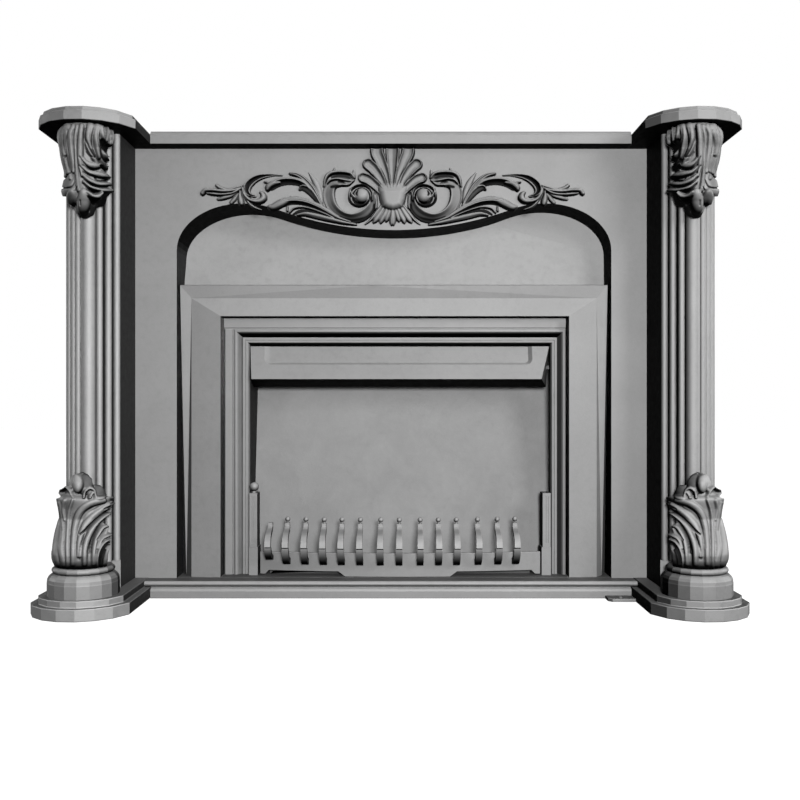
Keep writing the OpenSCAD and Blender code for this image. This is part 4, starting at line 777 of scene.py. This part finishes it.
def casting(name, verts, faces, painted_shade, node):
    me = bpy.data.meshes.new(name)
    me.from_pydata([tuple(v) for v in verts], [], faces)
    me.validate()
    a = me.attributes.new("painted_shade", "FLOAT", "POINT")
    a.data.foreach_set("value", np.asarray(painted_shade, dtype=np.float32))
    for p in me.polygons:
        p.use_smooth = True
    bm = bmesh.new()
    bm.from_mesh(me)
    bmesh.ops.recalc_face_normals(bm, faces=bm.faces)
    bm.to_mesh(me)
    bm.free()
    o = bpy.data.objects.new(name, me)
    scene.collection.objects.link(o)
    me.materials.append(MATS["iron_relief"])
    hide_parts(node)
    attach(o, NODES[node]["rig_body"])
    return o


def shut_grid(keep, front, back, painted_shade):
    """front and back sheets over the kept cells of a grid, joined round every edge"""
    rows, cols = keep.shape[0] + 1, keep.shape[1] + 1
    used = np.zeros((rows, cols), bool)
    used[:-1, :-1] |= keep
    used[1:, :-1] |= keep
    used[:-1, 1:] |= keep
    used[1:, 1:] |= keep
    index = np.full((rows, cols), -1)
    index[used] = np.arange(used.sum())
    n = int(used.sum())
    verts = np.vstack([front[used], back[used]])
    # the back sheet and the walls take full painted shade
    g = np.concatenate([painted_shade[used], np.ones(n)])
    faces = []
    ii, jj = np.where(keep)
    for i, j in zip(ii.tolist(), jj.tolist()):
        a, b, c, d = int(index[i, j]), int(index[i, j + 1]), int(index[i + 1, j + 1]), int(index[i + 1, j])
        faces.append((a, b, c, d))
        faces.append((d + n, c + n, b + n, a + n))
        if i == 0 or not keep[i - 1, j]:
            faces.append((b, a, a + n, b + n))
        if i == keep.shape[0] - 1 or not keep[i + 1, j]:
            faces.append((d, c, c + n, d + n))
        if j == 0 or not keep[i, j - 1]:
            faces.append((a, d, d + n, a + n))
        if j == keep.shape[1] - 1 or not keep[i, j + 1]:
            faces.append((c, b, b + n, c + n))
    return verts, faces, g


def tidy(keep):
    """no two kept cells may touch at one corner only"""
    for _ in range(12):
        p = np.pad(keep, 1)
        a, b, c, d = p[:-1, :-1], p[:-1, 1:], p[1:, 1:], p[1:, :-1]
        bad = (a & c & ~b & ~d) | (b & d & ~a & ~c)
        if not bad.any():
            break
        for i, j in zip(*np.where(bad)):
            for y, x in ((i - 1, j - 1), (i - 1, j), (i, j), (i, j - 1)):
                if 0 <= y < keep.shape[0] and 0 <= x < keep.shape[1]:
                    keep[y, x] = False
    return keep


def leaf(node, radius, edge, draw, flip):
    """a leaf casting bent round the front of a column, drawn as the camera sees the left one"""
    zs = [q[0] for q in radius]
    z = np.arange(zs[0], zs[-1] + 0.01, 1.15)
    ph = np.radians(np.arange(-90, 90.01, 1.15))
    P, Z = np.meshgrid(ph, z)
    R0 = np.interp(Z, zs, [q[1] for q in radius])
    R0 = blur(R0, 1.5)

    def seen(rad):
        X, Y = -646 + rad * np.sin(P), -166 - rad * np.cos(P)
        r = 965.7 / (965.7 + Y / 2.296)
        return 400 + (X - 20.7) / 2.296 * r, 400 - (Z / 2.296 - 194.5) * r
    U, V = seen(R0)
    F, D = draw(U, V)
    U, V = seen(R0 + 0.6 * blur(F, 2.5))
    F, D = draw(U, V)
    M = poly_dist(U, V, edge)
    F = blur(F, 0.7)
    D = blur(D, 0.6)
    keep = (M[:-1, :-1] > 0) & (M[1:, :-1] > 0) & (M[:-1, 1:] > 0) & (M[1:, 1:] > 0)
    keep = tidy(keep)
    s = 1.0 if flip else -1.0
    rad = np.maximum(R0 + F * np.clip(M / 1.0, 0.15, 1), 0.5 * R0 + 4)
    front = np.dstack([s * (646 - rad * np.sin(P)), -166 - rad * np.cos(P), Z]) / 1000
    br = np.minimum(R0 * 0.45, 14.0)
    back = np.dstack([s * (646 - br * np.sin(P)), -166 - br * np.cos(P), Z]) / 1000
    v, f, g = shut_grid(keep, front, back, D)
    return casting(node + "_cast", v, f, g, node)


def plate_relief(node, U, V, F, D, flip, top=None):
    """a flat-backed casting from a height field on the drafting grid"""
    F = blur(F.clip(-3, None), 0.75)
    D = blur(D, 0.6)
    inside = F > 0
    keep = inside[:-1, :-1] | inside[1:, :-1] | inside[:-1, 1:] | inside[1:, 1:]
    core = inside[:-1, :-1] & inside[1:, :-1] & inside[:-1, 1:] & inside[1:, 1:]
    keep &= np.pad(core, 1)[:-2, 1:-1] | np.pad(core, 1)[2:, 1:-1] | np.pad(core, 1)[1:-1, :-2] | np.pad(core, 1)[1:-1, 2:] | core
    keep = tidy(keep)
    X = 3.5 + (U - 392.5) * 2.287
    Z = 903.9 + (200 - V) * 2.287
    if top is not None:
        Z = np.minimum(Z, top)
    if flip:
        X = 7.0 - X
    h = np.maximum(F, 0.35)
    front = np.dstack([X, -h, Z]) / 1000
    back = np.dstack([X, np.zeros_like(X), Z]) / 1000
    v, f, g = shut_grid(keep, front, back, D)
    return casting(node + "_cast", v, f, g, node)


STEP = 0.38
gu, gv = np.arange(193, 398, STEP), np.arange(147.6, 228, STEP)
GU, GV = np.meshgrid(gu, gv)
SF, SD = spray(GU, GV)
su, sv = np.arange(354, 431.2, STEP), np.arange(148.4, 228, STEP)
SU, SV = np.meshgrid(su, sv)
HF, HD = shell(SU, SV)
MF, MD = shell(785 - SU, SV)
# the centre of the shell keeps the painted shade of the left half, so the shading there is not mirrored
MD = np.where((np.abs(SU - 392.5) < 7) & (SV < 190), HD, MD)
HF, HD = np.where(SU <= 392.5, HF, MF), np.where(SU <= 392.5, HD, MD)
plate_relief("shell_cartouche", SU, SV, HF, HD, False, top=1021.4)
# the spray stops where the shell begins
OF, _ = shell(GU, GV)
SF = np.where(OF > -4.5, np.minimum(SF, -1.0), SF)
plate_relief("scroll_left", GU, GV, SF, SD, False)
plate_relief("scroll_right", GU, GV, SF, SD, True)
for s, flip in (("left", False), ("right", True)):
    leaf("base_acanthus_" + s, BASE_R, BASE_EDGE, base_leaf, flip)
    leaf("capital_acanthus_" + s, CAP_R, CAP_EDGE, cap_leaf, flip)
